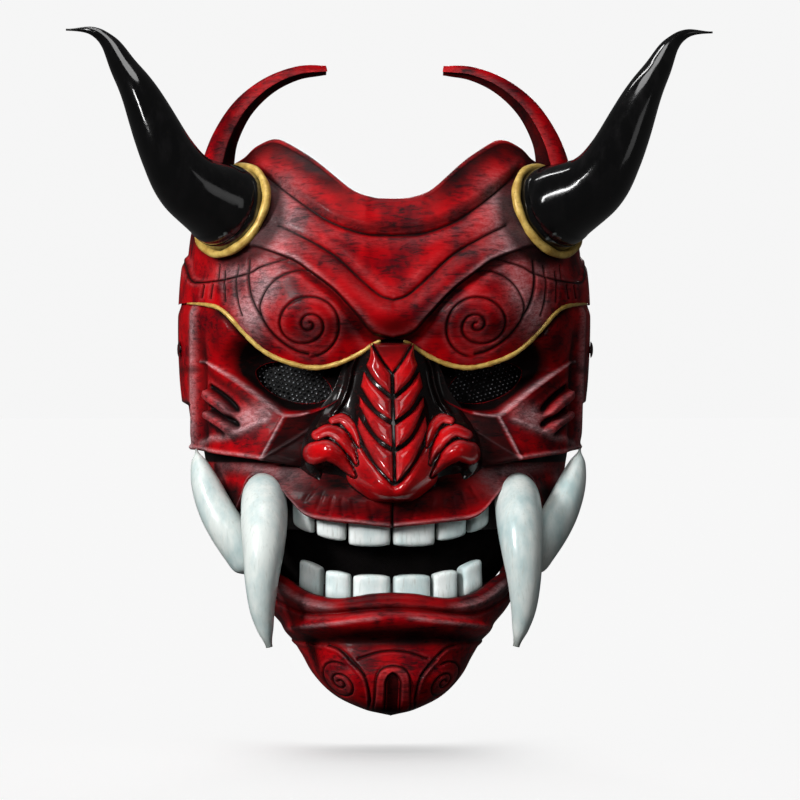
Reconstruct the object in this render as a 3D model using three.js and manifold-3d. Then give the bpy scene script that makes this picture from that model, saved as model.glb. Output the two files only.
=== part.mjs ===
// A demon mask in the Japanese manner, worn over the whole face: a lacquered shell with horns, tusks
// and bared teeth.
// Millimetres. Everything is first placed by its height above the chin, in front of the plane of the back rim,
// and the whole group is then lowered so that the origin lies on the wearer's eye line, in the rim plane.
// +X is to the viewer's right, -Y is towards the viewer, +Z is up. "left" is the viewer's left.
import * as THREE from "three";
import { mergeVertices } from "three/addons/utils/BufferGeometryUtils.js";
import Module from "manifold-3d";

const wasm = await Module();
wasm.setup();

// ---------------------------------------------------------------- driving dimensions
const EYE_LINE = 163; // height of the wearer's eyes above the chin
const WALL = 3.5; // thickness of the red castings
const GAP = 0.3; // adhesive line or clearance between touching pieces
const ROUNDNESS = 0.77; // power of the sections: 1 is an ellipse, less is squarer
const LEDGE = 126; // height of the cheeks' lower edge
const BROW = 182; // height where the nose meets the brow
const HORN_RADIUS = 20; // horn at its base
const HORN_SEAT = { x: 76.2, z: 244.7, outward: 47, up: 20 }; // seat on the temple, angles in degrees
const RING = { radius: 22.8, tube: 2.3 };
const EYE = { x: 46.5, z: 162, length: 38, height: 17, slant: 17 };
const STRAP = { z: 178, width: 25, thick: 1.6, front: -11.2, back: -4.2, bar: 84.5, tail: 12 };
const SLIDER = { x: 45, length: 20, clearance: 0.6 };
const RIVET = { y: -21, shank: 1.8, head: 4.2, domed: 1.1 };
const SCREW = { shank: 2, head: 4, length: 22 };

// ---------------------------------------------------------------- small mathematics
const degrees = (angle) => (angle * Math.PI) / 180;
const raise = (base, power) => Math.pow(Math.max(0, base), power);
const point = (x, y, z) => new THREE.Vector3(x, y, z);

// A smooth function of one number through [at, value] pairs, level beyond both ends.
function through(...pairs) {
  const slopes = pairs.map((pair, i) => {
    const before = pairs[Math.max(0, i - 1)];
    const after = pairs[Math.min(pairs.length - 1, i + 1)];
    return i === 0 || i === pairs.length - 1 ? 0 : (after[1] - before[1]) / (after[0] - before[0]);
  });
  return (at) => {
    if (at <= pairs[0][0]) return pairs[0][1];
    if (at >= pairs.at(-1)[0]) return pairs.at(-1)[1];
    const i = pairs.findIndex((pair) => pair[0] > at) - 1;
    const span = pairs[i + 1][0] - pairs[i][0];
    const t = (at - pairs[i][0]) / span;
    const rise = pairs[i + 1][1] - pairs[i][1];
    const bend = t * (1 - t) * span;
    return pairs[i][1] + rise * t * t * (3 - 2 * t) + bend * ((1 - t) * slopes[i] - t * slopes[i + 1]);
  };
}

// ---------------------------------------------------------------- building solids
// A geometry from points and triangles, turned so that its faces point out.
function closedGeometry(points, triangles) {
  let volume = 0;
  for (let i = 0; i < triangles.length; i += 3) {
    const [a, b, c] = [points[triangles[i]], points[triangles[i + 1]], points[triangles[i + 2]]];
    volume += a.dot(b.clone().cross(c));
  }
  if (volume < 0) triangles.reverse();
  return new THREE.BufferGeometry().setFromPoints(points).setIndex(triangles);
}

// A shell between two surfaces, each a function of across and along, both from 0 to 1.
function shell(outer, inner, columns, rows) {
  const points = [];
  for (const surface of [outer, inner])
    for (let row = 0; row <= rows; row++)
      for (let column = 0; column <= columns; column++) points.push(surface(column / columns, row / rows));
  const layer = (columns + 1) * (rows + 1);
  const at = (column, row, side) => side * layer + row * (columns + 1) + column;
  const triangles = [];
  const quad = (a, b, c, d) => triangles.push(a, b, c, a, c, d);
  for (let row = 0; row < rows; row++)
    for (let column = 0; column < columns; column++) {
      const corners = [[0, 0], [1, 0], [1, 1], [0, 1]];
      // The diagonals mirror each other left and right.
      if (2 * column >= columns) corners.push(corners.shift());
      quad(...corners.map(([c, r]) => at(column + c, row + r, 0)));
      quad(...corners.map(([c, r]) => at(column + c, row + r, 1)).reverse());
    }
  for (let column = 0; column < columns; column++) {
    quad(at(column, 0, 1), at(column + 1, 0, 1), at(column + 1, 0, 0), at(column, 0, 0));
    quad(at(column, rows, 0), at(column + 1, rows, 0), at(column + 1, rows, 1), at(column, rows, 1));
  }
  for (let row = 0; row < rows; row++) {
    quad(at(0, row, 0), at(0, row + 1, 0), at(0, row + 1, 1), at(0, row, 1));
    quad(at(columns, row, 1), at(columns, row + 1, 1), at(columns, row + 1, 0), at(columns, row, 0));
  }
  return closedGeometry(points, triangles);
}

// A solid skinned over rings of points, with a flat fan at each end.
function loft(rings) {
  const sides = rings[0].length;
  const points = rings.flat();
  const triangles = [];
  for (let ring = 0; ring < rings.length - 1; ring++)
    for (let side = 0; side < sides; side++) {
      const [a, b] = [ring * sides + side, ring * sides + ((side + 1) % sides)];
      triangles.push(a, b, b + sides, a, b + sides, a + sides);
    }
  const cap = (first, forwards) => {
    const middle = points.length;
    const sum = point(0, 0, 0);
    for (let side = 0; side < sides; side++) sum.add(points[first + side]);
    points.push(sum.divideScalar(sides));
    for (let side = 0; side < sides; side++) {
      const [a, b] = [first + side, first + ((side + 1) % sides)];
      triangles.push(...(forwards ? [middle, a, b] : [middle, b, a]));
    }
  };
  cap(0, false);
  cap((rings.length - 1) * sides, true);
  return closedGeometry(points, triangles);
}

// A tapering round bar along a smooth curve; radius is a function of the share of the way along.
function taper(route, radius, sides, steps) {
  const curve = new THREE.CatmullRomCurve3(route);
  const frames = curve.computeFrenetFrames(steps, false);
  const rings = [];
  for (let step = 0; step <= steps; step++) {
    const centre = curve.getPointAt(step / steps);
    const [u, v] = [frames.normals[step], frames.binormals[step]];
    rings.push(
      Array.from({ length: sides }, (_, side) => {
        const turn = (side / sides) * 2 * Math.PI;
        const r = radius(step / steps);
        return centre.clone().addScaledVector(u, r * Math.cos(turn)).addScaledVector(v, r * Math.sin(turn));
      }),
    );
  }
  return loft(rings);
}

// ---------------------------------------------------------------- cutting and joining
function stripped(geometry) {
  const bare = geometry.clone();
  bare.deleteAttribute("normal");
  bare.deleteAttribute("uv");
  return bare;
}

function toSolid(geometry) {
  const merged = mergeVertices(stripped(geometry), 1e-4);
  const vertProperties = merged.attributes.position.array;
  const triVerts = new Uint32Array(merged.index.array);
  return new wasm.Manifold(new wasm.Mesh({ numProp: 3, vertProperties, triVerts }));
}

function toGeometry(solid) {
  const made = solid.getMesh();
  const positions = new Float32Array(made.numVert * 3);
  for (let i = 0; i < made.numVert; i++)
    positions.set(made.vertProperties.subarray(i * made.numProp, i * made.numProp + 3), i * 3);
  return new THREE.BufferGeometry()
    .setAttribute("position", new THREE.BufferAttribute(positions, 3))
    .setIndex(new THREE.BufferAttribute(made.triVerts, 1));
}

const largest = (solid) => solid.decompose().sort((a, b) => b.volume() - a.volume())[0];

// The geometry less all the others; if the cut parts it, the largest part stays.
function cut(geometry, ...others) {
  const left = others.reduce((solid, other) => solid.subtract(toSolid(other)), toSolid(geometry));
  return toGeometry(largest(left));
}

function join(...geometries) {
  return toGeometry(geometries.map(toSolid).reduce((whole, next) => whole.add(next)));
}

const mirrored = (geometry) => {
  const copy = mergeVertices(stripped(geometry), 1e-4).scale(-1, 1, 1);
  copy.setIndex(Array.from(copy.index.array).reverse());
  return copy;
};

// A box from its lowest to its highest corner.
function block(low, high) {
  const size = high.map((value, axis) => value - low[axis]);
  const middle = high.map((value, axis) => (value + low[axis]) / 2);
  return new THREE.BoxGeometry(...size).translate(...middle);
}

// ---------------------------------------------------------------- sections of the face
// Each casting is a stack of half sections: its half width and its reach forwards are functions of height,
// and its two ends lie on a plane `back` in front of the rim plane.
function casting(halfWidth, reach, back, relief = () => 0) {
  const place = (angle, z, inset) => {
    const [s, c] = [Math.sin(angle), Math.cos(angle)];
    const x = Math.max(1, halfWidth(z) - inset) * Math.sign(s) * raise(Math.abs(s), ROUNDNESS);
    const forwards = (reach(z) - inset - back) * raise(c, ROUNDNESS);
    return point(x, -back - forwards - relief(Math.abs(x), z) * Math.min(1, 2.5 * c), z);
  };
  const front = (x, z) => {
    const s = raise(Math.abs(x) / halfWidth(z), 1 / ROUNDNESS);
    return -place(Math.asin(Math.min(1, s)), z, 0).y;
  };
  return { place, front };
}

// The shell of a casting from one angle to another, with its lower and upper edges as functions of the angle.
// A gather above 1 draws its rows together towards the lower edge.
function castingShell(made, from, to, low, high, outer, inner, columns, rows, gather = 1) {
  const surface = (inset) => (across, along) => {
    const angle = degrees(from + (to - from) * across);
    const [bottom, top] = [low(angle), high(angle)];
    return made.place(angle, bottom + (top - bottom) * raise(along, gather), inset);
  };
  return shell(surface(outer), surface(inner), columns, rows);
}

const socket = (x, z) => -9 * Math.exp(-(((x - 46) / 26) ** 2) - ((z - 165) / 13) ** 2);

const face = casting(
  through([LEDGE, 96.5], [140, 99], [165, 102], [200, 102.5], [235, 99], [262, 91], [282, 80]),
  through(
    [LEDGE, 84], [150, 80], [165, 79], [182, 86], [194, 95],
    [212, 97], [235, 92], [255, 80], [282, 58],
  ),
  0,
  socket,
);
const muzzle = casting(
  through([90, 87], [118, 90.5], [LEDGE, 91.8], [140, 94]),
  through([90, 90], [108, 89], [120, 83], [LEDGE, 79.6], [140, 77]),
  0,
);
const jaw = casting(
  through(
    [0, 4], [2, 13], [8, 25.5], [18, 36], [28, 42], [41, 50.5],
    [52, 59.5], [66, 66], [84, 71], [100, 74], [118, 77],
  ),
  through([0, 72], [3, 82], [9, 90], [20, 96], [33, 93], [45, 98], [58, 95], [80, 88], [118, 80]),
  30,
);
// The dental arches, upper and lower, which the gums and teeth follow.
const dentalArch = (halfWidth) => casting(() => halfWidth, () => 78.5, 34);
const upperArch = dentalArch(60);
const lowerArch = dentalArch(53);

// Edges, as functions of the angle round the section.
const turned = (angle) => Math.abs(angle) / degrees(90);
const crownEdge = through(
  [0, 248], [0.1, 249.5], [0.22, 259.5], [0.36, 275.5],
  [0.44, 278.5], [0.56, 276], [0.75, 265], [1, 256],
);
const lipEdge = through(
  [0, 91.5], [0.2, 94], [0.32, 99], [0.44, 113], [0.54, 118],
  [0.61, 108], [0.68, 99], [0.75, 112], [0.82, 120], [1, 122],
);
const jawEdge = through([0, 56], [0.3, 57], [0.45, 62], [0.6, 74], [0.74, 94], [0.88, 133], [1, 134]);

// ---------------------------------------------------------------- red castings
const eyeOutline = (() => {
  const outline = new THREE.Shape();
  const tilt = degrees(EYE.slant);
  const turn = (x, z) => [
    EYE.x + x * Math.cos(tilt) - z * Math.sin(tilt),
    EYE.z + x * Math.sin(tilt) + z * Math.cos(tilt),
  ];
  const half = EYE.length / 2;
  outline.moveTo(...turn(-half, 0));
  outline.quadraticCurveTo(...turn(0, EYE.height), ...turn(half, 0));
  outline.quadraticCurveTo(...turn(0, -EYE.height), ...turn(-half, 0));
  return outline;
})();

// An outline drawn in X and Z, made solid from one Y to another.
function prism(outline, nearY, farY, curveSegments = 6) {
  const depth = farY - nearY;
  const made = new THREE.ExtrudeGeometry(outline, { depth, bevelEnabled: false, curveSegments });
  return made.rotateX(Math.PI / 2).translate(0, farY, 0);
}

const seatAxis = point(
  Math.sin(degrees(HORN_SEAT.outward)) * Math.cos(degrees(HORN_SEAT.up)),
  -Math.cos(degrees(HORN_SEAT.outward)) * Math.cos(degrees(HORN_SEAT.up)),
  Math.sin(degrees(HORN_SEAT.up)),
);
const seat = point(HORN_SEAT.x, -face.front(HORN_SEAT.x, HORN_SEAT.z), HORN_SEAT.z);

// A shape turned on the Y axis, stood on an axis at a distance from its foot.
function stood(geometry, foot, axis, distance = 0) {
  const turn = new THREE.Quaternion().setFromUnitVectors(point(0, 1, 0), axis);
  const place = foot.clone().addScaledVector(axis, distance);
  return geometry.applyQuaternion(turn).translate(place.x, place.y, place.z);
}
const bar = (radius, length) => new THREE.CylinderGeometry(radius, radius, length, 12);

const screwHole = stood(bar(SCREW.shank + GAP, 30), seat, seatAxis, 0);
const rivetHole = bar(RIVET.shank + GAP, 24).rotateZ(Math.PI / 2).translate(98, RIVET.y, STRAP.z);
const eyeHole = prism(eyeOutline, -130, -30);

// Each blank is the whole casting before its holes; grown by the gap, it is the room that its neighbours leave it.
const faceBlank = (outer, inner, grow) =>
  castingShell(
    face, -90, 90,
    () => LEDGE - grow, (angle) => crownEdge(turned(angle)) + grow,
    outer, inner, 30, 14,
  );
const faceShell = cut(
  faceBlank(0, WALL, 0),
  eyeHole,
  mirrored(eyeHole),
  screwHole,
  mirrored(screwHole),
  rivetHole,
  mirrored(rivetHole),
);
const faceRoom = faceBlank(-GAP, WALL + GAP, GAP);

const muzzleBlank = (outer, inner, grow) =>
  castingShell(muzzle, -74, 74, (angle) => lipEdge(turned(angle)) - grow, () => 134, outer, inner, 28, 4);
const muzzleShell = muzzleBlank(0, WALL, 0);
const muzzleRoom = muzzleBlank(-GAP, WALL + GAP, GAP);

const jawBlank = (outer, inner, grow) =>
  castingShell(jaw, -90, 90, () => 0, (angle) => jawEdge(turned(angle)) + grow, outer, inner, 22, 10, 1.6);
const jawShell = jawBlank(0, WALL, 0);
const jawRoom = jawBlank(-GAP, WALL + GAP, GAP);

// The nose stands on the face and the muzzle, and covers the joint between them.
const noseShell = (() => {
  const [foot, root] = [103.5, BROW - 3];
  const halfWidth = through(
    [foot, 9], [110, 26], [117, 41], [124, 44], [131, 42], [140, 28], [150, 20], [165, 15], [root, 5],
  );
  const height = through([foot, 4], [109, 20], [116, 29], [126, 26], [145, 16], [165, 10], [root, 4]);
  const [thin, wall, seatGap] = [1.5, 4, 0.6];
  const rest = (x, z) => Math.max(face.front(x, Math.max(z, LEDGE)), muzzle.front(x, z)) + seatGap;
  const surface = (outer) => (across, along) => {
    const z = foot + (root - foot) * along;
    const side = 2 * across - 1;
    const x = halfWidth(z) * side;
    const crown = thin + height(z) * (1 - raise(Math.abs(side), 2.2));
    return point(x, -rest(x, z) - (outer ? crown : Math.max(0, crown - wall)), z);
  };
  return shell(surface(true), surface(false), 12, 14);
})();

// ---------------------------------------------------------------- horns, rings and their screws
const hornRoute = [
  seat.clone().addScaledVector(seatAxis, -6),
  seat.clone().addScaledVector(seatAxis, 5),
  seat.clone().addScaledVector(seatAxis, 12),
  point(98, -82, 257),
  point(108, -86, 271.5),
  point(120.8, -84, 299),
  point(129, -79, 313),
  point(136, -74, 325),
  point(144.5, -71, 331.3),
  point(157, -69, 332),
];
const hornRadius = through(
  [0, HORN_RADIUS], [0.1, HORN_RADIUS], [0.16, 19], [0.25, 16.6], [0.38, 13.8],
  [0.6, 9.9], [0.73, 7.2], [0.84, 5], [0.92, 3], [1, 1.2],
);
const screwPilot = stood(bar(SCREW.shank + GAP, 36), seat, seatAxis, 0);
const hornSolid = cut(taper(hornRoute, hornRadius, 12, 14), faceRoom, screwPilot);

const ringSolid = (() => {
  const corners = 6;
  const section = Array.from({ length: corners + 1 }, (_, i) => {
    const turn = (i / corners) * 2 * Math.PI;
    return new THREE.Vector2(RING.radius + RING.tube * Math.cos(turn), RING.tube * Math.sin(turn));
  });
  const whole = stood(new THREE.LatheGeometry(section, 20), seat, seatAxis, 1);
  return cut(whole, faceRoom);
})();

// A pan-head screw, its head below the wall's inner face and its shank pointing up the axis.
const screwSolid = (() => {
  const headThick = 2.4;
  const section = [
    [0, 0],
    [SCREW.head, 0],
    [SCREW.head, headThick],
    [SCREW.shank, headThick],
    [SCREW.shank, SCREW.length],
    [0, SCREW.length],
  ];
  const made = new THREE.LatheGeometry(section.map(([r, y]) => new THREE.Vector2(r, y)), 10);
  return stood(made, seat, seatAxis, -(WALL + 5.4));
})();
const washerSolid = (() => {
  const [inside, outside, thick] = [SCREW.shank + GAP, 7, 1.4];
  const section = [[inside, 0], [outside, 0], [outside, thick], [inside, thick], [inside, 0]];
  const made = new THREE.LatheGeometry(section.map(([r, y]) => new THREE.Vector2(r, y)), 12);
  return stood(made, seat, seatAxis, -(WALL + 2.6));
})();

// ---------------------------------------------------------------- crown arms
// A band cut from a dome: it rises behind the horn, arches inwards and thins to its tip. Its inner face
// looks forwards and down, because the dome narrows towards the back.
const armSolid = (() => {
  const route = new THREE.CatmullRomCurve3([
    point(81, -28, 258),
    point(80.5, -26, 270),
    point(77, -24, 283),
    point(69, -21, 297),
    point(57, -18, 308),
    point(43, -15, 314.5),
    point(29, -13, 316.3),
  ]);
  const width = through([0, 21], [0.35, 13], [0.7, 8.6], [1, 4.6]);
  const thick = through([0, 8], [0.4, 5.4], [1, 3]);
  const lean = degrees(20);
  const steps = 14;
  const rings = Array.from({ length: steps + 1 }, (_, i) => {
    const share = i / steps;
    const centre = route.getPointAt(share);
    const along = route.getTangentAt(share);
    const outwards = point(along.z, 0, -along.x).normalize();
    const backwards = along.clone().cross(outwards).normalize();
    if (backwards.y < 0) backwards.negate();
    const [cos, sin] = [Math.cos(lean), Math.sin(lean)];
    const wide = backwards.clone().multiplyScalar(cos).addScaledVector(outwards, -sin);
    const deep = outwards.clone().multiplyScalar(cos).addScaledVector(backwards, sin);
    const corners = [
      [-1, -0.6], [-0.7, -1], [0.7, -1], [1, -0.6], [1, 0.6], [0.7, 1], [-0.7, 1], [-1, 0.6],
    ];
    return corners.map(([w, d]) =>
      centre
        .clone()
        .addScaledVector(wide, (w * width(share)) / 2)
        .addScaledVector(deep, (d * thick(share)) / 2),
    );
  });
  return cut(loft(rings), faceRoom);
})();

// ---------------------------------------------------------------- gold brow trim
const trimSolid = (() => {
  const line = [
    [6, 181.5], [16.5, 174.8], [27.5, 170], [38.5, 168.6], [51, 171.7],
    [61, 177], [71, 186], [78, 193.5], [85, 198.4], [93, 200],
  ];
  const [radius, proud] = [1.1, 1.5];
  const route = line.map(([x, z]) => point(x, -face.front(x, z) - proud, z));
  return cut(taper(route, () => radius, 5, 16), faceRoom);
})();

// ---------------------------------------------------------------- eye screens
const screenSolid = (() => {
  const [near, thick] = [WALL + 1.6, 0.8];
  return castingShell(face, 12, 38, () => 150, () => 177, near, near + thick, 6, 4);
})();

// ---------------------------------------------------------------- mouth: lining, gums, teeth and tusks
const archBand = (arch, low, high, outer, inner) =>
  castingShell(arch, -80, 80, () => low, () => high, outer, inner, 14, 1);
// The lining is narrow behind the two gums and bellies out between them, where the mouth stands open.
const lining = casting(
  through([57, 53], [66.9, 53], [71.7, 62], [76, 63.5], [83, 63.5], [86.4, 59.8], [116, 59.8]),
  () => 78.5,
  34,
);
const liningBand = (outer, inner) =>
  castingShell(lining, -88, 88, () => 57, () => 116, outer, inner, 14, 12);
const liningSolid = liningBand(6.6, 8.1);
const liningRoom = liningBand(6.6 - GAP, 8.1 + GAP);
const upperGum = archBand(upperArch, 90, 112, 0.4, 6);
const upperGumRoom = archBand(upperArch, 89, 113, 0.4 - GAP, 6 + GAP);
const lowerGum = archBand(lowerArch, 50, 64, 0.4, 6);

// A tooth: a block whose corners are cut off, standing in front of the gum on the line of the dental arch.
// Its upper and lower edges climb outwards by the slope.
function tooth(from, to, low, high, slope, arch) {
  const outline = new THREE.Shape();
  const half = (to - from) / 2;
  const corner = 1.6;
  const at = (x, z) => [x, z + slope * x];
  outline.moveTo(...at(-half + corner, low));
  outline.lineTo(...at(half - corner, low));
  outline.quadraticCurveTo(...at(half, low), ...at(half, low + corner));
  outline.lineTo(...at(half, high - corner));
  outline.quadraticCurveTo(...at(half, high), ...at(half - corner, high));
  outline.lineTo(...at(-half + corner, high));
  outline.quadraticCurveTo(...at(-half, high), ...at(-half, high - corner));
  outline.lineTo(...at(-half, low + corner));
  outline.quadraticCurveTo(...at(-half, low), ...at(-half + corner, low));
  const thick = 4;
  const [outerY, innerY] = [-arch.front(to, 0), -arch.front(from, 0)];
  const turn = Math.atan2(outerY - innerY, to - from);
  const middle = (from + to) / 2;
  return prism(outline, -thick, 0, 1)
    .rotateZ(turn)
    .translate(middle, -arch.front(middle, 0) - 0.9, 0);
}
const TOOTH_HEIGHT = 15;
const upperTeeth = [[0.6, 20.4, 82.2, 0.03], [21.8, 35.6, 85.6, 0.2], [37, 46, 90, 0.45]];
const lowerTeeth = [[0.8, 18.3, 69, 0], [19.4, 31.4, 70.6, 0.15], [32.6, 43.2, 74.6, 0.35]];

// The front tusks come out from under the lip and hang; the rear tusks rise from the jaw outside them.
const upperTusk = cut(
  taper(
    [
      point(61, -56, 112.5),
      point(60.4, -68, 108),
      point(60, -80, 100),
      point(60.2, -89, 88),
      point(61.2, -94, 73),
      point(61.8, -95, 57),
      point(60.6, -94, 44),
      point(58.8, -93, 34.8),
    ],
    through([0, 8.5], [0.14, 10.4], [0.28, 11.4], [0.42, 11.2], [0.58, 9], [0.74, 6.6], [0.87, 4.4], [1, 1.5]),
    10,
    10,
  ),
  jawRoom,
  muzzleRoom,
  upperGumRoom,
  liningRoom,
);
const lowerTusk = cut(
  taper(
    [
      point(64.5, -61, 69),
      point(72, -62, 80),
      point(79.5, -61, 91),
      point(85, -58, 101),
      point(89.5, -55, 112),
      point(92.6, -52, 122),
      point(93.6, -51, 126),
    ],
    through([0, 9], [0.18, 9.7], [0.36, 9.5], [0.54, 8.9], [0.72, 7.3], [0.9, 4.2], [1, 2]),
    10,
    8,
  ),
  jawRoom,
  muzzleRoom,
  faceRoom,
  liningRoom,
);

// ---------------------------------------------------------------- padding
const inside = WALL + 1.2;
const foreheadPad = castingShell(face, -34, 34, () => 212, () => 236, inside, inside + 8, 14, 2);
const templePad = castingShell(face, 60, 78, () => 206, () => 232, inside, inside + 7, 5, 2);

// ---------------------------------------------------------------- head strap
// The elastic is one flat band: sewn round the left bracket's bar, straight across, round the right bar
// and back.
const strapSolid = (() => {
  const { thick, front, back, bar: barX, tail, width } = STRAP;
  const middle = (front + back) / 2;
  const outer = (back - front + thick) / 2;
  const inner = outer - thick;
  const sewnEnd = -62;
  const outline = new THREE.Shape();
  outline.moveTo(sewnEnd, middle + outer);
  outline.lineTo(-barX, middle + outer);
  outline.absarc(-barX, middle, outer, Math.PI / 2, (3 * Math.PI) / 2, false);
  outline.lineTo(barX, middle - outer);
  outline.absarc(barX, middle, outer, -Math.PI / 2, Math.PI / 2, false);
  outline.lineTo(tail, middle + outer);
  outline.lineTo(tail, middle + inner);
  outline.lineTo(barX, middle + inner);
  outline.absarc(barX, middle, inner, Math.PI / 2, -Math.PI / 2, true);
  outline.lineTo(-barX, middle - inner);
  outline.absarc(-barX, middle, inner, (3 * Math.PI) / 2, Math.PI / 2, true);
  outline.lineTo(sewnEnd, middle + inner);
  const made = new THREE.ExtrudeGeometry(outline, { depth: width, bevelEnabled: false, curveSegments: 8 });
  return made.translate(0, 0, STRAP.z - width / 2);
})();

// An angle bracket: one leg against the side wall with the rivet's hole, the other with the strap's slot
// and bar.
const bracketSolid = (() => {
  const [halfTall, legX, legThick] = [16, 93.6, 1.5];
  const middle = (STRAP.front + STRAP.back) / 2;
  const [flangeNear, flangeFar] = [middle - legThick / 2, middle + legThick / 2];
  const [low, high] = [STRAP.z - halfTall, STRAP.z + halfTall];
  const wallLeg = block([legX, -27, low], [legX + legThick, flangeFar, high]);
  const flange = block([STRAP.bar - 1.5, flangeNear, low], [legX + legThick, flangeFar, high]);
  const slotHalf = STRAP.width / 2 + 0.9;
  const slot = block(
    [STRAP.bar + 1.5, flangeNear - 1, STRAP.z - slotHalf],
    [STRAP.bar + 6.3, flangeFar + 1, STRAP.z + slotHalf],
  );
  return cut(join(wallLeg, flange), slot, rivetHole);
})();

// A rivet with a domed head outside the wall and a flange inside the bracket.
const rivetSolid = (() => {
  const [flangeX, headX] = [92.4, 102.1];
  const reach = headX - flangeX;
  const section = new THREE.Path();
  section.moveTo(0, 0);
  section.lineTo(3.4, 0);
  section.lineTo(3.4, 1.2);
  section.lineTo(RIVET.shank, 1.2);
  section.lineTo(RIVET.shank, reach);
  section.lineTo(RIVET.head, reach);
  section.quadraticCurveTo(RIVET.head * 0.8, reach + RIVET.domed, 0, reach + RIVET.domed);
  return new THREE.LatheGeometry(section.getPoints(3), 12)
    .rotateZ(-Math.PI / 2)
    .translate(flangeX, RIVET.y, STRAP.z);
})();

// A ladder slider: two rails joined by bars in front of, between and behind the two runs of the strap.
const sliderSolid = (() => {
  const half = SLIDER.length / 2;
  const slack = SLIDER.clearance;
  const [runs, rail, barWide] = [STRAP.thick / 2 + slack, 3, 3.4];
  const near = STRAP.front - runs - 1.6;
  const far = STRAP.back + runs + 1.6;
  const inner = STRAP.width / 2 + slack;
  const outer = inner + rail;
  const rails = [-1, 1].map((side) =>
    block(
      [-half, near, Math.min(side * inner, side * outer)],
      [half, far, Math.max(side * inner, side * outer)],
    ),
  );
  const across = (x, from, to) =>
    block([x - barWide / 2, from, -outer + 1], [x + barWide / 2, to, outer - 1]);
  const edge = half - barWide / 2;
  const bars = [
    across(-edge, near, STRAP.front - runs),
    across(edge, near, STRAP.front - runs),
    across(0, STRAP.front + runs, STRAP.back - runs),
    across(-edge, STRAP.back + runs, far),
    across(edge, STRAP.back + runs, far),
  ];
  return join(...rails, ...bars).translate(SLIDER.x, 0, STRAP.z);
})();

// ---------------------------------------------------------------- materials
const paint = (color, roughness, metalness = 0) =>
  new THREE.MeshStandardMaterial({ color, roughness, metalness });
const materials = {
  lacquer: paint(0x9c0f14, 0.42),
  gloss: paint(0xb50d10, 0.25),
  horn: paint(0x0a0a0b, 0.15),
  gold: paint(0xd0a23c, 0.3, 1),
  ivory: paint(0xdfe6e2, 0.45),
  black: paint(0x0d0c0d, 0.7),
  foam: paint(0x2a2a2c, 0.95),
  elastic: paint(0x17171a, 0.85),
  steel: paint(0x9a9ca0, 0.35, 1),
  plastic: paint(0x101012, 0.4),
};

// ---------------------------------------------------------------- the assembly
const mask = new THREE.Group();
const assembly = new THREE.Group();
assembly.position.z = -EYE_LINE;
mask.add(assembly);

function add(name, geometry, material) {
  const mesh = new THREE.Mesh(geometry, material);
  mesh.name = name;
  assembly.add(mesh);
}
function addPair(name, geometry, material) {
  add(`left_${name}`, mirrored(geometry), material);
  add(`right_${name}`, geometry, material);
}

add("face_shell", faceShell, materials.lacquer);
add("nose", noseShell, materials.gloss);
add("muzzle", muzzleShell, materials.lacquer);
add("lower_jaw", jawShell, materials.lacquer);
addPair("crown_arm", armSolid, materials.lacquer);
addPair("horn", hornSolid, materials.horn);
addPair("horn_ring", ringSolid, materials.gold);
addPair("horn_screw", screwSolid, materials.steel);
addPair("horn_washer", washerSolid, materials.steel);
addPair("brow_trim", trimSolid, materials.gold);
addPair("eye_screen", screenSolid, materials.black);
add("mouth_lining", liningSolid, materials.black);
add("upper_gum", upperGum, materials.black);
add("lower_gum", lowerGum, materials.black);
upperTeeth.forEach(([from, to, low, slope], i) => {
  const made = tooth(from, to, low, low + TOOTH_HEIGHT, slope, upperArch);
  addPair(`upper_tooth_${i + 1}`, made, materials.ivory);
});
lowerTeeth.forEach(([from, to, high, slope], i) => {
  const made = tooth(from, to, high - TOOTH_HEIGHT, high, slope, lowerArch);
  addPair(`lower_tooth_${i + 1}`, made, materials.ivory);
});
addPair("upper_tusk", upperTusk, materials.ivory);
addPair("lower_tusk", lowerTusk, materials.ivory);
add("forehead_pad", foreheadPad, materials.foam);
addPair("temple_pad", templePad, materials.foam);
addPair("strap_bracket", bracketSolid, materials.steel);
addPair("strap_rivet", rivetSolid, materials.steel);
add("head_strap", strapSolid, materials.elastic);
add("strap_slider", sliderSolid, materials.plastic);

export default mask;
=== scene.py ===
import functools
import math

import bpy
import numpy as np
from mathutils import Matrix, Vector


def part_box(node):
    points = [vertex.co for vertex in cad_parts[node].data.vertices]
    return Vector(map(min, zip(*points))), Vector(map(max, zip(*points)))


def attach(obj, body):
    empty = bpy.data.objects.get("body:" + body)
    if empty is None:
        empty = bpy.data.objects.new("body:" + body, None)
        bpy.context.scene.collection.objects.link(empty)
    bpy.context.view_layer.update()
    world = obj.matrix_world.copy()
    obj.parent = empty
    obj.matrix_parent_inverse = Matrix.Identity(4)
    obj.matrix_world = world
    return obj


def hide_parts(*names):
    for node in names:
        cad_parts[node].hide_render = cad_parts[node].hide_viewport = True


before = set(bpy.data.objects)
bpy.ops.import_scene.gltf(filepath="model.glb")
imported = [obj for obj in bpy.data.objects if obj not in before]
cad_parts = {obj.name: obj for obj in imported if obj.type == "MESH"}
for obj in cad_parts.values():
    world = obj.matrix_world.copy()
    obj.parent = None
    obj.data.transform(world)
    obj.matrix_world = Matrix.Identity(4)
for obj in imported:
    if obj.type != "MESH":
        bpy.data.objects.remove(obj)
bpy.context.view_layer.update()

# A lacquered demon mask. Shapes are worked out in millimetres, with Z counted up from the chin and the
# mask looking along -Y, and are put in the frame by `placed`. D is the distance from the middle of the face.
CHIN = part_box("lower_jaw")[0].z
ROUNDNESS = 0.77  # power of the horizontal sections, as in the CAD shells
WALL = 3.5
BODY = "mask"


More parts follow.
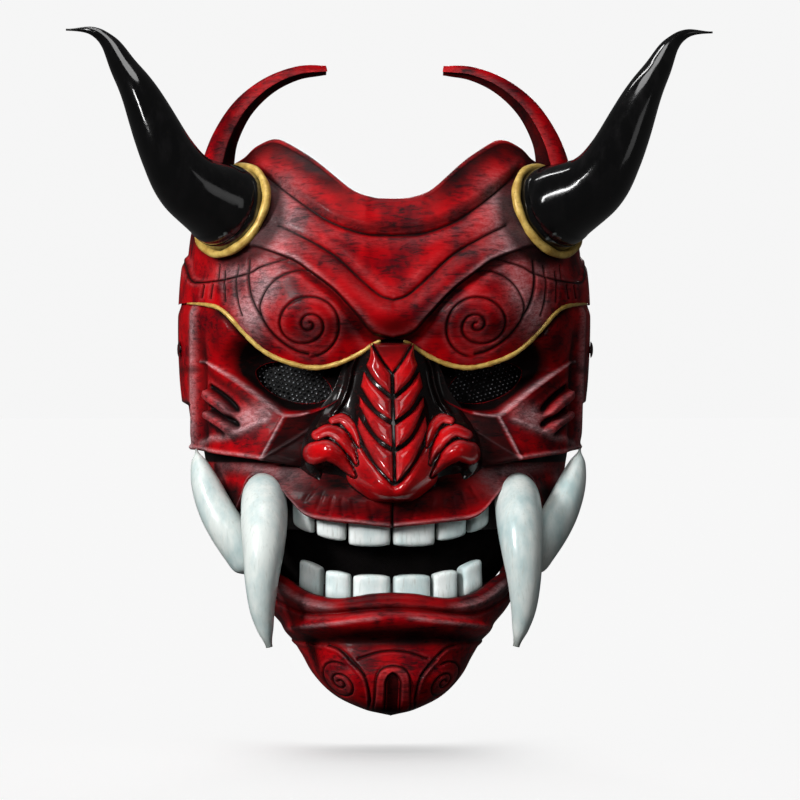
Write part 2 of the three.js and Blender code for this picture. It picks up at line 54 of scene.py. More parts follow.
# ---------------------------------------------------------------- small mathematics
def through(*pairs):
    """A smooth function through (at, value) pairs, level beyond both ends."""
    at, value = np.array(pairs, float).T
    slope = np.zeros_like(at)
    slope[1:-1] = (value[2:] - value[:-2]) / (at[2:] - at[:-2])

    def function(x):
        x = np.clip(x, at[0], at[-1])
        i = np.clip(np.searchsorted(at, x, side="right") - 1, 0, len(at) - 2)
        span = at[i + 1] - at[i]
        t = (x - at[i]) / span
        rise = value[i + 1] - value[i]
        bend = t * (1 - t) * span * ((1 - t) * slope[i] - t * slope[i + 1])
        return value[i] + rise * t * t * (3 - 2 * t) + bend

    return function


def smooth(x, low, high):
    """0 below low, 1 above high, and an S between them."""
    t = np.clip((x - low) / (high - low), 0, 1)
    return t * t * (3 - 2 * t)


def bell(x, at, wide):
    """A ridge of height 1 at a value, falling away on both sides of it."""
    return np.exp(-(((x - at) / wide) ** 2))


def most(*fields):
    """The greatest of several fields at each point."""
    return functools.reduce(np.maximum, fields)


def unit(vectors):
    """Vectors in the last axis, brought to length 1."""
    return vectors / np.linalg.norm(vectors, axis=-1, keepdims=True)


def squared(wave, power):
    """A sine or cosine with its top flattened, which makes a circle squarer. Power 1 leaves it as it is."""
    return np.sign(wave) * np.abs(wave) ** power


def bump(x, z, at, size, turn=0.0):
    """A round hill of height 1 at a place, with its half widths, turned by some degrees."""
    c, s = math.cos(math.radians(turn)), math.sin(math.radians(turn))
    u, v = (x - at[0]) * c + (z - at[1]) * s, (z - at[1]) * c - (x - at[0]) * s
    return np.exp(-((u / size[0]) ** 2) - (v / size[1]) ** 2)


def line(*points, steps=10):
    """A smooth line through points of any dimension, as an array of closely spaced points."""
    p = np.array(points, float)
    p = np.vstack([2 * p[:1] - p[1:2], p, 2 * p[-1:] - p[-2:-1]])
    t = np.linspace(0, 1, steps, endpoint=False)[:, None]
    pieces = []
    for a, b, c, d in zip(p, p[1:], p[2:], p[3:]):
        pieces.append(b + 0.5 * t * (c - a + t * (2 * a - 5 * b + 4 * c - d + t * (3 * (b - c) + d - a))))
    return np.vstack([*pieces, p[-2:-1]])


def away(x, z, route):
    """Distance from a route drawn in X and Z, and the share of the way along it of the nearest point."""
    best = np.full(np.shape(x), 1e9)
    share = np.zeros(np.shape(x))
    for i, (a, b) in enumerate(zip(route[:-1], route[1:])):
        d = b - a
        t = np.clip(((x - a[0]) * d[0] + (z - a[1]) * d[1]) / max(d @ d, 1e-9), 0, 1)
        far = np.hypot(x - a[0] - t * d[0], z - a[1] - t * d[1])
        share = np.where(far < best, (i + t) / (len(route) - 1), share)
        best = np.minimum(best, far)
    return best, share


def above(x, z, route):
    """Height above a route that runs from left to right, measured square to its slope."""
    at = np.interp(x, route[:, 0], route[:, 1])
    slope = np.interp(x, route[:, 0], np.gradient(route[:, 1], route[:, 0]))
    return (z - at) / np.hypot(1, slope)


def furrow(x, z, route, wide, fade=0.06):
    """1 along the middle of a drawn line and 0 away from it, dying out at its ends."""
    far, share = away(x, z, route)
    return np.exp(-((far / wide) ** 2)) * smooth(share, 0, fade) * smooth(1 - share, 0, fade)


def softened(field, reach):
    """A grid of values, averaged over a square window twice."""
    for _ in range(2):
        for axis in (0, 1):
            pad = [(reach, reach) if a == axis else (0, 0) for a in (0, 1)]
            sums = np.cumsum(np.pad(field, pad, mode="edge"), axis=axis)
            sums = np.insert(sums, 0, 0, axis=axis)
            size = 2 * reach + 1
            ends = [slice(None), slice(None)]
            starts = [slice(None), slice(None)]
            ends[axis], starts[axis] = slice(size, None), slice(None, -size)
            field = (sums[tuple(ends)] - sums[tuple(starts)]) / size
    return field


# ---------------------------------------------------------------- meshes
def placed(points):
    """Millimetres above the chin, as metres in the frame."""
    return np.asarray(points, float).reshape(-1, 3) / 1000 + [0, 0, CHIN]


def mesh_object(name, points, faces, material, paint=None):
    """A piece made of points in millimetres. Paint is named amounts from 0 to 1, one for each point."""
    mesh = bpy.data.meshes.new(name)
    mesh.from_pydata(placed(points).tolist(), [], [list(f) for f in faces])
    mesh.validate()
    mesh.polygons.foreach_set("use_smooth", [True] * len(mesh.polygons))
    for key, values in (paint or {}).items():
        layer = mesh.attributes.new(key, "FLOAT", "POINT")
        layer.data.foreach_set("value", np.clip(np.ravel(values), 0, 1).astype(np.float32))
    mesh.materials.append(material)
    made = bpy.data.objects.new(name, mesh)
    bpy.context.scene.collection.objects.link(made)
    return made


def sheet_faces(rows, columns, first=0, flip=False):
    """Quads of a grid of rows and columns whose points are numbered row by row."""
    r, c = np.meshgrid(np.arange(rows - 1), np.arange(columns - 1), indexing="ij")
    a = (r * columns + c).ravel() + first
    quads = np.stack([a, a + 1, a + columns + 1, a + columns], 1)
    return quads[:, ::-1] if flip else quads


def thick_sheet(name, outer, inner, material, paint, step=6):
    """A closed shell: a fine outer grid, and a coarse inner grid joined to it all round its edge."""
    rows, columns = outer.shape[:2]
    pick_r = np.unique(np.append(np.arange(0, rows, step), rows - 1))
    pick_c = np.unique(np.append(np.arange(0, columns, step), columns - 1))
    inside = inner[np.ix_(pick_r, pick_c)]
    base = rows * columns
    faces = sheet_faces(rows, columns).tolist()
    faces += sheet_faces(len(pick_r), len(pick_c), base, flip=True).tolist()
    out = np.arange(base).reshape(rows, columns)
    back = base + np.arange(inside.shape[0] * inside.shape[1]).reshape(inside.shape[:2])

    def hem(edge, coarse, picks, flip):
        for i, (a, b) in enumerate(zip(picks[:-1], picks[1:])):
            face = [*edge[a : b + 1], coarse[i + 1], coarse[i]]
            faces.append(face if flip else face[::-1])

    hem(out[0], back[0], pick_c, False)
    hem(out[-1], back[-1], pick_c, True)
    hem(out[:, 0], back[:, 0], pick_r, True)
    hem(out[:, -1], back[:, -1], pick_r, False)
    points = np.vstack([outer.reshape(-1, 3), inside.reshape(-1, 3)])
    plain = np.ones(back.size)
    extra = {k: np.append(np.ravel(v), plain) for k, v in paint.items()}
    return mesh_object(name, points, faces, material, extra)


def lofted(name, rings, material, paint=None):
    """A closed solid skinned over rings of points, with a point at the middle of each end."""
    count, sides = rings.shape[:2]
    points = np.vstack([rings.reshape(-1, 3), rings[0].mean(0), rings[-1].mean(0)])
    i = np.arange(count * sides).reshape(count, sides)
    j = np.roll(i, -1, axis=1)
    faces = np.stack([i[:-1], j[:-1], j[1:], i[1:]], -1).reshape(-1, 4).tolist()
    faces += [[count * sides, b, a] for a, b in zip(i[0], j[0])]
    faces += [[count * sides + 1, a, b] for a, b in zip(i[-1], j[-1])]
    extra = {k: np.append(np.ravel(v), [0, 0]) for k, v in (paint or {}).items()}
    return mesh_object(name, points, faces, material, extra)


def carried(route, start_across):
    """Two directions square to a route at each point, carried along it without twisting."""
    ahead = unit(np.gradient(route, axis=0))
    across = np.zeros_like(route)
    last = np.array(start_across, float)
    for i, a in enumerate(ahead):
        last = unit(last - a * (last @ a))
        across[i] = last
    return across, np.cross(ahead, across)


def tube_rings(route, radius, sides, across=(0, 1, 0), flat=1.0):
    """Rings of a tube: one radius for each point of the route, and flat squeezes the second direction."""
    u, v = carried(route, across)
    turn = np.linspace(0, 2 * np.pi, sides, endpoint=False)
    radius = np.broadcast_to(radius, len(route))[:, None, None]
    wave = u[:, None] * np.cos(turn)[None, :, None] + flat * v[:, None] * np.sin(turn)[None, :, None]
    return route[:, None] + radius * wave


def points_of(mesh):
    """The places of a mesh's points, in metres."""
    points = np.zeros(len(mesh.vertices) * 3, np.float32)
    mesh.vertices.foreach_get("co", points)
    return points.reshape(-1, 3)


def mirror(made, name):
    """A copy on the other side of the face."""
    mesh = made.data.copy()
    points = points_of(mesh) * np.array([-1, 1, 1], np.float32)
    mesh.vertices.foreach_set("co", points.ravel())
    mesh.flip_normals()
    copy = bpy.data.objects.new(name, mesh)
    bpy.context.scene.collection.objects.link(copy)
    return copy


def finished(made, slot, *nodes, body=BODY):
    """The piece, once the CAD nodes it replaces are hidden and it is attached to its body. The slot is not
    used.
    """
    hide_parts(*nodes)
    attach(made, body)
    return made


def pair(make, name, slot):
    """The right-hand piece that make returns, and its mirror image on the left."""
    right = make(f"{name}_right")
    left = mirror(right, f"{name}_left")
    finished(right, slot, f"right_{name}")
    finished(left, slot, f"left_{name}")
    return left, right


def applied(made):
    """The piece with its modifiers made part of its mesh."""
    evaluated = made.evaluated_get(bpy.context.evaluated_depsgraph_get())
    mesh = bpy.data.meshes.new_from_object(evaluated)
    made.modifiers.clear()
    made.data = mesh
    return made


def cut_away(made, cutter):
    """Removes a closed cutter from a closed piece, and the cutter with it."""
    modifier = made.modifiers.new("opening", "BOOLEAN")
    modifier.solver = "MANIFOLD"
    modifier.object = cutter
    applied(made)
    bpy.data.objects.remove(cutter)


# ---------------------------------------------------------------- materials
class Nodes:
    """A material's node tree, with short ways to add and join nodes."""

    def __init__(self, name):
        self.material = bpy.data.materials.new(name)
        self.material.use_nodes = True
        self.tree = self.material.node_tree
        self.shader = self.tree.nodes["Principled BSDF"]
        self.place = self.add("ShaderNodeTexCoord").outputs["Object"]

    def add(self, kind, **settings):
        node = self.tree.nodes.new(kind)
        for key, value in settings.items():
            setattr(node, key, value)
        return node

    def join(self, value, socket):
        if isinstance(value, bpy.types.NodeSocket):
            self.tree.links.new(value, socket)
        else:
            socket.default_value = value

    def set(self, **values):
        for key, value in values.items():
            self.join(value, self.shader.inputs[key.replace("_", " ")])

    def paint(self, key):
        return self.add("ShaderNodeAttribute", attribute_name=key).outputs["Fac"]

    def noise(self, scale, detail=4.0, roughness=0.55, stretch=(1, 1, 1), distortion=0.0):
        mapping = self.add("ShaderNodeMapping")
        mapping.inputs["Scale"].default_value = stretch
        self.join(self.place, mapping.inputs["Vector"])
        node = self.add("ShaderNodeTexNoise")
        self.join(mapping.outputs["Vector"], node.inputs["Vector"])
        node.inputs["Scale"].default_value = scale
        node.inputs["Detail"].default_value = detail
        node.inputs["Roughness"].default_value = roughness
        node.inputs["Distortion"].default_value = distortion
        return node.outputs["Fac"]

    def range(self, value, low, high, to_low=0.0, to_high=1.0):
        node = self.add("ShaderNodeMapRange")
        for key, number in zip(("From Min", "From Max", "To Min", "To Max"), (low, high, to_low, to_high)):
            node.inputs[key].default_value = number
        self.join(value, node.inputs["Value"])
        return node.outputs["Result"]

    def math(self, operation, a, b=0.0):
        node = self.add("ShaderNodeMath", operation=operation, use_clamp=operation == "ADD")
        self.join(a, node.inputs[0])
        self.join(b, node.inputs[1])
        return node.outputs[0]

    def mix(self, factor, a, b):
        node = self.add("ShaderNodeMix", data_type="RGBA")
        self.join(factor, node.inputs["Factor"])
        for socket, value in zip([s for s in node.inputs if s.type == "RGBA"], (a, b)):
            self.join((*value, 1) if isinstance(value, tuple) else value, socket)
        return [s for s in node.outputs if s.type == "RGBA"][0]

    def bump(self, height, distance, strength=1.0):
        node = self.add("ShaderNodeBump")
        node.inputs["Strength"].default_value = strength
        node.inputs["Distance"].default_value = distance
        self.join(height, node.inputs["Height"])
        self.join(node.outputs["Normal"], self.shader.inputs["Normal"])


def lacquer(name, red, deep, roughness, grime, silver, coat):
    """Red paint with black rubbed into the hollows and pale pink silver rubbed over the ridges; the black
    also carries painted shade, and the silver a painted sheen.
    """
    m = Nodes(name)
    patches = m.noise(55, 3, 0.6)
    grain = m.noise(420, 5, 0.7, stretch=(0.35, 1, 1.6), distortion=0.6)
    fine = m.noise(1300, 3, 0.7, stretch=(0.5, 1, 1.3))
    base = m.mix(m.range(patches, 0.38, 0.62), red, deep)
    rubbed = m.math("MULTIPLY", m.range(grain, 0.49, 0.61), m.range(patches, 0.34, 0.62, 0.2, 1.0))
    base = m.mix(m.math("MULTIPLY", rubbed, grime), base, (0.018, 0.004, 0.005))
    # Pale silver over ridges and patches: partly rubbed paint, partly a painted sheen.
    worn_and_sheen = m.math("MULTIPLY", m.paint("wear_and_sheen"), m.range(grain, 0.35, 0.6, 1.0, 0.35))
    worn_and_sheen = m.math("MULTIPLY", worn_and_sheen, m.range(fine, 0.35, 0.6, 0.5, 1.0))
    base = m.mix(m.math("MULTIPLY", worn_and_sheen, silver), base, (0.70, 0.46, 0.48))
    # Black in the grooves, and painted shade in sockets, recesses and under ledges.
    shade = m.math("MULTIPLY", m.paint("dark_paint_and_shade"), m.range(grain, 0.3, 0.7, 1.15, 0.85))
    base = m.mix(m.range(shade, 0.0, 0.95), base, (0.005, 0.003, 0.003))
    m.set(Base_Color=base, Roughness=m.range(fine, 0.3, 0.7, roughness - 0.06, roughness + 0.1))
    m.set(Coat_Weight=coat, Coat_Roughness=0.13)
    m.shader.inputs["Specular IOR Level"].default_value = 0.05
    m.bump(m.math("ADD", m.math("MULTIPLY", grain, 0.6), m.math("MULTIPLY", fine, 0.25)), 0.00035, 0.5)
    return m.material


def black_gloss(name):
    m = Nodes(name)
    scuff = m.noise(160, 5, 0.65, stretch=(1, 1, 0.4))
    m.set(Base_Color=m.mix(m.range(scuff, 0.45, 0.75), (0.0035, 0.0035, 0.004), (0.014, 0.013, 0.014)))
    m.set(Roughness=m.range(scuff, 0.4, 0.75, 0.09, 0.24), Coat_Weight=0.6, Coat_Roughness=0.06)
    m.bump(m.noise(90, 4, 0.5), 0.0006, 0.35)
    return m.material


def gold(name):
    m = Nodes(name)
    patches = m.noise(240, 4, 0.6)
    base = m.mix(m.range(patches, 0.35, 0.65), (0.76, 0.53, 0.14), (0.46, 0.27, 0.05))
    base = m.mix(m.range(m.noise(700, 3, 0.6), 0.62, 0.75), base, (0.12, 0.05, 0.02))
    m.set(Base_Color=base, Metallic=0.15, Roughness=m.range(patches, 0.3, 0.7, 0.3, 0.5))
    m.bump(m.noise(420, 4, 0.6), 0.0003, 0.5)
    return m.material


def ivory(name, pale, wash_tone):
    m = Nodes(name)
    wash = m.noise(75, 4, 0.6, stretch=(1, 1, 0.45))
    streaks = m.noise(520, 4, 0.6, stretch=(1.6, 1.6, 0.22))
    base = m.mix(m.range(wash, 0.4, 0.64), pale, wash_tone)
    base = m.mix(m.range(streaks, 0.54, 0.72, 0.0, 0.55), base, (0.46, 0.50, 0.46))
    # Dark paint: stained tusk ends, and painted shade on the teeth.
    base = m.mix(m.range(m.paint("dark_paint_and_shade"), 0.0, 1.0, 0.0, 0.92), base, (0.10, 0.085, 0.07))
    m.set(Base_Color=base, Roughness=m.range(streaks, 0.3, 0.7, 0.28, 0.45), Coat_Weight=0.25)
    m.shader.inputs["Subsurface Weight"].default_value = 0.06
    m.shader.inputs["Subsurface Radius"].default_value = (0.002, 0.002, 0.002)
    m.bump(m.math("ADD", m.math("MULTIPLY", streaks, 0.5), m.math("MULTIPLY", wash, 0.5)), 0.0004, 0.4)
    return m.material


def matt(name, light, dark, roughness, scale, depth):
    """Matt stuff with an even grain: foam, cast resin, moulded plastic."""
    m = Nodes(name)
    grain = m.noise(scale, 5, 0.65)
    m.set(Base_Color=m.mix(m.range(grain, 0.35, 0.65), light, dark))
    m.set(Roughness=m.range(grain, 0.3, 0.7, roughness - 0.08, roughness + 0.08))
    m.bump(grain, depth, 0.6)
    return m.material


def punched(name):
    """Dull black sheet with painted glints of light in some of its holes."""
    m = Nodes(name)
    glint = m.math("MULTIPLY", m.paint("dot"), m.range(m.noise(420, 2, 0.5), 0.42, 0.62, 0.0, 0.9))
    m.set(Base_Color=m.mix(glint, (0.0015, 0.0015, 0.0018), (0.42, 0.44, 0.47)))
    m.set(Roughness=m.range(m.noise(700), 0.3, 0.7, 0.4, 0.6))
    m.shader.inputs["Specular IOR Level"].default_value = 0.1
    return m.material


def woven(name, light, dark, pitch, sheen=0.3, shine=0.5):
    """Cloth with real threads: two sets of ribs that pass over each other."""
    m = Nodes(name)
    ribs = []
    for direction in ((1, 0, 0), (0, 0, 1)):
        dot = m.add("ShaderNodeVectorMath", operation="DOT_PRODUCT")
        m.join(m.place, dot.inputs[0])
        dot.inputs[1].default_value = [2 * math.pi / pitch * c for c in direction]
        ribs.append(m.math("SINE", dot.outputs["Value"]))
    weave = m.range(m.math("MULTIPLY", *ribs), -1, 1)
    fuzz = m.noise(2600, 3, 0.7)
    base = m.mix(weave, dark, light)
    base = m.mix(m.range(fuzz, 0.4, 0.7, 0, 0.5), base, light)
    base = m.mix(m.paint("seam"), base, tuple(0.15 * c for c in dark))
    m.set(Base_Color=base, Roughness=0.85, Sheen_Weight=sheen)
    m.shader.inputs["Specular IOR Level"].default_value = shine
    m.bump(m.math("ADD", m.math("MULTIPLY", weave, 0.8), m.math("MULTIPLY", fuzz, 0.2)), pitch * 0.35, 0.8)
    return m.material


def steel(name, tone):
    m = Nodes(name)
    brushed = m.noise(900, 4, 0.6, stretch=(0.08, 1, 1))
    m.set(Base_Color=m.mix(m.range(brushed, 0.35, 0.65), tone, tuple(0.7 * c for c in tone)), Metallic=1.0)
    m.set(Roughness=m.range(brushed, 0.3, 0.7, 0.24, 0.42))
    m.bump(brushed, 0.00008, 0.4)
    return m.material


RED = lacquer("red lacquer", (0.47, 0.001, 0.004), (0.11, 0.001, 0.004), 0.42, 0.95, 0.9, 0.03)
GLOSS_RED = lacquer("gloss red lacquer", (0.55, 0.001, 0.003), (0.30, 0.001, 0.003), 0.34, 0.4, 0.25, 0.75)
HORN = black_gloss("black horn lacquer")
GOLD = gold("gold paint")
IVORY = ivory("painted ivory", (0.72, 0.77, 0.74), (0.44, 0.57, 0.57))
# The teeth use the tusks' ivory painted paler, as painted light where the lip shades them.
TEETH_WITH_PAINTED_LIGHT = ivory("teeth ivory with painted light", (0.90, 0.95, 0.93), (0.60, 0.74, 0.74))
GUM = matt("gum black", (0.022, 0.006, 0.006), (0.006, 0.003, 0.003), 0.45, 260, 0.0005)
LINING = woven("lining cloth", (0.004, 0.003, 0.003), (0.0012, 0.001, 0.001), 0.0011, sheen=0.0, shine=0.05)
SCREEN = punched("punched screen")
FOAM = woven("foam facing", (0.05, 0.05, 0.054), (0.018, 0.018, 0.02), 0.0013)
ELASTIC = woven("strap elastic", (0.03, 0.03, 0.033), (0.006, 0.006, 0.007), 0.0012)
PLASTIC = matt("slider plastic", (0.02, 0.02, 0.022), (0.012, 0.012, 0.013), 0.4, 900, 0.0001)
STEEL = steel("zinc plate", (0.62, 0.62, 0.64))
RIVET = matt("rivet paint", (0.05, 0.008, 0.009), (0.012, 0.004, 0.004), 0.35, 500, 0.0002)


# ---------------------------------------------------------------- sections of the face
def section(half_width, reach, back, angle, z, lift=0.0):
    """Points of a horizontal section, lifted off it, and the outward direction there."""
    s, c = np.abs(np.sin(angle)), np.maximum(np.cos(angle), 0)
    wide, deep = half_width(z), reach(z) - back
    sideways, forwards = np.sign(angle) * deep * s ** (2 - ROUNDNESS), wide * c ** (2 - ROUNDNESS)
    out = unit(np.stack([sideways, -forwards, 0 * s], -1))
    x = np.sign(angle) * wide * s**ROUNDNESS
    y = -back - deep * c**ROUNDNESS
    return np.stack([x, y, z + 0 * x], -1) + out * np.asarray(lift)[..., None], out


def angles(count, limit=90.0, front=0.85):
    """Angles from -limit to limit degrees, spaced evenly along the front and wider on the side walls."""
    fine = np.radians(np.linspace(-limit, limit, 4001))
    x = np.sign(fine) * np.abs(np.sin(fine)) ** ROUNDNESS
    y = np.maximum(np.cos(fine), 0) ** ROUNDNESS
    length = np.hypot(np.diff(x), np.diff(y)) * np.where(np.abs(x[1:]) > 0.975, 1 - front, 1.0)
    run = np.insert(np.cumsum(length), 0, 0)
    return np.interp(np.linspace(0, run[-1], count), run, fine)


face_width = through((126, 96.5), (140, 99), (165, 102), (200, 102.5), (235, 99), (262, 91), (282, 80))
face_reach = through((126, 84), (150, 80), (165, 79), (182, 86), (194, 95), (212, 97), (235, 92), (255, 80),
                     (282, 58))


def aside(angle, wide):
    """How far to the side a section's point at an angle lies, for a half width."""
    return np.abs(np.sin(angle)) ** ROUNDNESS * wide


def base_front(x, z):
    """How far the smooth face stands in front of the rim plane at a place."""
    s = np.clip(np.abs(x) / face_width(z), 0, 1) ** (1 / ROUNDNESS)
    return face_reach(z) * np.sqrt(1 - s * s) ** ROUNDNESS


# ---------------------------------------------------------------- brow and forehead
TRIM = line((0, 182.5), (6.3, 181.4), (16.6, 174.8), (27.4, 170.1), (38.3, 168.6), (51, 171.7), (61, 176.8),
            (70.8, 185.8), (78, 193.5), (85, 198.4), (98, 200.3), (104, 200.3))
CREST = line((0, 248), (9, 248.6), (18.5, 252), (28, 260), (38, 269.5), (48, 276), (56, 278.4), (64, 276),
             (74, 269.5), (83, 264), (93, 257), (106, 256))
HIGH_FOLD = line((0, 232), (14, 232.8), (29, 238), (40, 245), (52.5, 254.6), (62, 262.9))
MIDDLE_FOLD = line((0, 200.7), (7, 203.3), (16.7, 211.5), (27.8, 221.8), (42.6, 230.9), (57, 238))
LOW_FOLD = line((0, 182.5), (9.6, 185.5), (17, 193.6), (28, 205.5), (39.3, 214.4), (48, 220.4), (65, 227))
CURL_AT = np.array([39.2, 189.3])
RING_AT = (76.2, 244.7)
PLATE = line((50, 221), (56.3, 219.4), (64, 216.8), (68, 214.6), (75, 212.6), (84, 210.8), (94, 210.3),
             (97.5, 212), (99.5, 217), (102, 226))


def curl(at, turns, *radii, squash=1.0, tilt=0.0):
    """A spiral round a place from radii given at angles, in degrees, and squashed across a tilted axis."""
    turn = np.radians(np.linspace(*turns, 160))
    r = through(*radii)(np.degrees(turn))
    along, across = r * np.cos(turn), squash * r * np.sin(turn)
    c, s = math.cos(math.radians(tilt)), math.sin(math.radians(tilt))
    return np.stack([at[0] + along * c - across * s, at[1] + along * s + across * c], -1)


BROW_CURL = curl(CURL_AT, (-300, 635), (-300, 0.8), (-180, 1.8), (-60, 3.0), (90, 4.6), (180, 6.4),
                 (270, 8.6), (360, 13.6), (450, 13.0), (540, 13.6), (635, 15.5))
CURL_ARC = line((61.8, 192.7), (63, 198.5), (60.5, 205.5), (56, 210.8), (50, 214), (44, 215.2), (38, 214))
TEARDROP = line((69.5, 222), (69.3, 212), (68, 204.5), (65.5, 198.5), (61.8, 192.7), (57.5, 186.5), (52, 181),
                (45, 176.6), (39, 175))
HATCH = (
    line((84.6, 219), (84.4, 211)),
    line((81.6, 216), (80.8, 208), (80.2, 200)),
    line((75, 219), (75.2, 208.5), (73.6, 199), (71.4, 193)),
    line((90.6, 209.3), (91.6, 202.5)),
    line((86.4, 209.6), (87.4, 202)),
)


def brow_relief(d, z):
    """Broad and fine height of the forehead over its smooth section, and its paint, which includes painted
    shade and a painted sheen.
    """
    over_low = above(d, z, LOW_FOLD)
    over_middle = above(d, z, MIDDLE_FOLD)
    over_high = above(d, z, HIGH_FOLD)
    trim = above(d, z, TRIM)
    plate = above(d, z, PLATE)
    inner = 1 - smooth(d, 63, 74)
    broad = 6.0 * bump(d, z, (42, 192), (24, 17), -20) * smooth(-over_low, -3, 5)
    broad += 4.2 * smooth(over_low, -0.7, 0.9) * np.exp(-np.maximum(over_low, 0) / 24) * inner
    broad += 3.0 * bump(d, z, (0, 193), (12, 12))
    broad += 2.2 * smooth(over_high, 0, 7) * inner + 2.0 * bump(d, z, (50, 270), (14, 9))
    broad -= 2.2 * bump(d, z, (0, 222), (16, 13)) + 1.4 * bump(d, z, (84, 222), (14, 9))
    broad -= 2.6 * smooth(plate, 0.2, 1.4) * smooth(d, 84, 93)
    broad -= 0.8 * smooth(plate, 0.2, 1.4) * smooth(d, 64, 70) * (1 - smooth(d, 84, 93))
    pillow = 1.5 * (bell(over_high, 0, 3.2) + bell(over_middle, 0, 3.2)) * inner
    pillow += 1.2 * bell(over_low, -2.5, 2.5) * inner
    fine = -pillow
    dark_paint_and_shade = np.zeros_like(d)
    for route, wide in ((HIGH_FOLD, 0.75), (MIDDLE_FOLD, 0.75), (LOW_FOLD, 0.9)):
        mark = furrow(d, z, np.vstack([route[::-1] * [-1, 1], route[1:]]), wide, 0.015)
        fine -= 0.9 * mark
        dark_paint_and_shade = np.maximum(dark_paint_and_shade, mark)
    below_low = smooth(-over_low, -0.5, 0.8)
    drawn = [(BROW_CURL, 0.6), (CURL_ARC, 0.6), (TEARDROP, 0.75), (PLATE, 0.65)]
    for route, wide in drawn + [(hatch, 0.5) for hatch in HATCH]:
        mark = furrow(d, z, route, wide, 0.02) * smooth(trim, 0.4, 1.6) * below_low
        fine -= 0.95 * mark
        dark_paint_and_shade = np.maximum(dark_paint_and_shade, mark)
    # Painted shade round the horn ring, under the nose's root and along the steps of the folds.
    ring = np.hypot(d - RING_AT[0], (z - RING_AT[1]) * 0.95)
    dark_paint_and_shade = most(
        dark_paint_and_shade,
        0.8 * bell(np.maximum(ring - 22.5, 0), 0, 4.0) * smooth(105 - d, 0, 6),
        0.6 * bump(d, z, (0, 188), (9, 5)),
        0.6 * bell(over_low, -1.8, 1.8) * inner,
        0.4 * bell(over_high, 3.5, 3.5) * (over_high > 0) * inner,
        0.35 * bell(over_middle, -2, 3.0) * inner,
        0.3 * bump(d, z, (18, 191), (8, 8)),
    )
    # Painted shade along the top of the crest and beside it.
    top = np.interp(d, *CREST.T) - z
    dark_paint_and_shade = most(
        dark_paint_and_shade,
        0.85 * (1 - smooth(top, 0, 15)) * smooth(d, 8, 32),
        0.5 * bump(d, z, (72, 268), (16, 7), -20),
    )
    # Pale silver patches on the temples and over the low fold: partly rubbed paint, partly a painted sheen.
    wear_and_sheen = 1.0 * bump(d, z, (61, 236), (14, 15), 30) + 0.35 * bump(d, z, (52, 251), (8, 12), 30)
    wear_and_sheen += 0.75 * bump(d, z, (61, 207), (6, 10)) + 1.1 * bump(d, z, (68.5, 194), (5, 9), -30)
    wear_and_sheen += 0.45 * bump(d, z, (77, 215), (8, 4))
    wear_and_sheen += 0.55 * bell(over_low, 1.6, 1.0) * smooth(d, 28, 48) * inner
    return broad, fine, dark_paint_and_shade, wear_and_sheen


def ridge_wear_and_hollow_shade(fine, reach=3):
    """Ridges of a relief stand out from its average, and hollows fall below it: ridges get rubbed silver and
    a painted highlight, hollows get painted shade.
    """
    contrast = fine - softened(fine, reach)
    return np.clip(contrast * 1.6, 0, 1), np.clip(-contrast * 1.2, 0, 1)


def turned_over(edge, out, deep, high, turns):
    """Rows that carry a top edge up and inwards, at some angles of the turn."""
    return [edge - out * deep * (1 - math.cos(t)) + [0, 0, high * math.sin(t)] for t in turns]


def edged(grid, below, over=()):
    """A grid of paint with rows of even paint added below and over it."""
    rows = [[np.full(grid.shape[1], value) for value in values] for values in (below, over)]
    return np.vstack([*rows[0], grid, *rows[1]])


def brow():
    columns, rows = 520, 158
    angle = angles(columns)[None, :]
    share = np.linspace(0, 1, rows)[:, None]
    d = aside(angle, 100)
    z = np.interp(d, *TRIM.T) * (1 - share) + np.interp(d * 0.93, *CREST.T) * share
    d = aside(angle, face_width(z))
    z = np.interp(d, *TRIM.T) * (1 - share) + np.interp(d, *CREST.T) * share
    d = aside(angle, face_width(z))
    broad, fine, dark_paint_and_shade, wear_and_sheen = brow_relief(d, z)
    ridge, hollow = ridge_wear_and_hollow_shade(fine)
    # Hollows get painted shade and ridges a painted highlight, over the rubbed paint.
    paint = {"dark_paint_and_shade": np.maximum(dark_paint_and_shade, 0.7 * hollow), "wear_and_sheen": wear_and_sheen + 0.35 * ridge}
    whole_angle = np.broadcast_to(angle, z.shape)
    outer, out = section(face_width, face_reach, 0, whole_angle, z, broad + fine)
    inner, _ = section(face_width, face_reach, 0, whole_angle, z, np.minimum(broad, 2) - WALL - 1)
    # Under the brow the surface turns back into the eye sockets, and over the crest it rolls over.
    depth = through((0, 9), (20, 15), (60, 14), (78, 5), (90, 2.5))(d[0])[:, None]
    under = [outer[0] - out[0] * depth * t + [0, 0, 1.0 + 2.0 * t] for t in (1.0, 0.66, 0.33, 0.1)]
    over = turned_over(outer[-1], out[-1], 3.4, 2.2, (0.5, 1.0, 1.5))
    outer = np.concatenate([under, outer, over])
    foot = under[0] * [0.985, 1, 1] + [0, 3, 1]
    foot[:, 1] = np.minimum(foot[:, 1], 0)
    inner = np.concatenate([[foot], [inner[0]] * 3, inner, [inner[-1]] * 3])
    # The rows under the brow are painted black as shade in the eye sockets.
    paint["dark_paint_and_shade"] = edged(paint["dark_paint_and_shade"], [1.0] * 4, [0.3] * 3)
    paint["wear_and_sheen"] = edged(paint["wear_and_sheen"], [0.0] * 4, [0.05] * 3)
    return thick_sheet("brow_and_forehead", outer, inner, RED, paint)


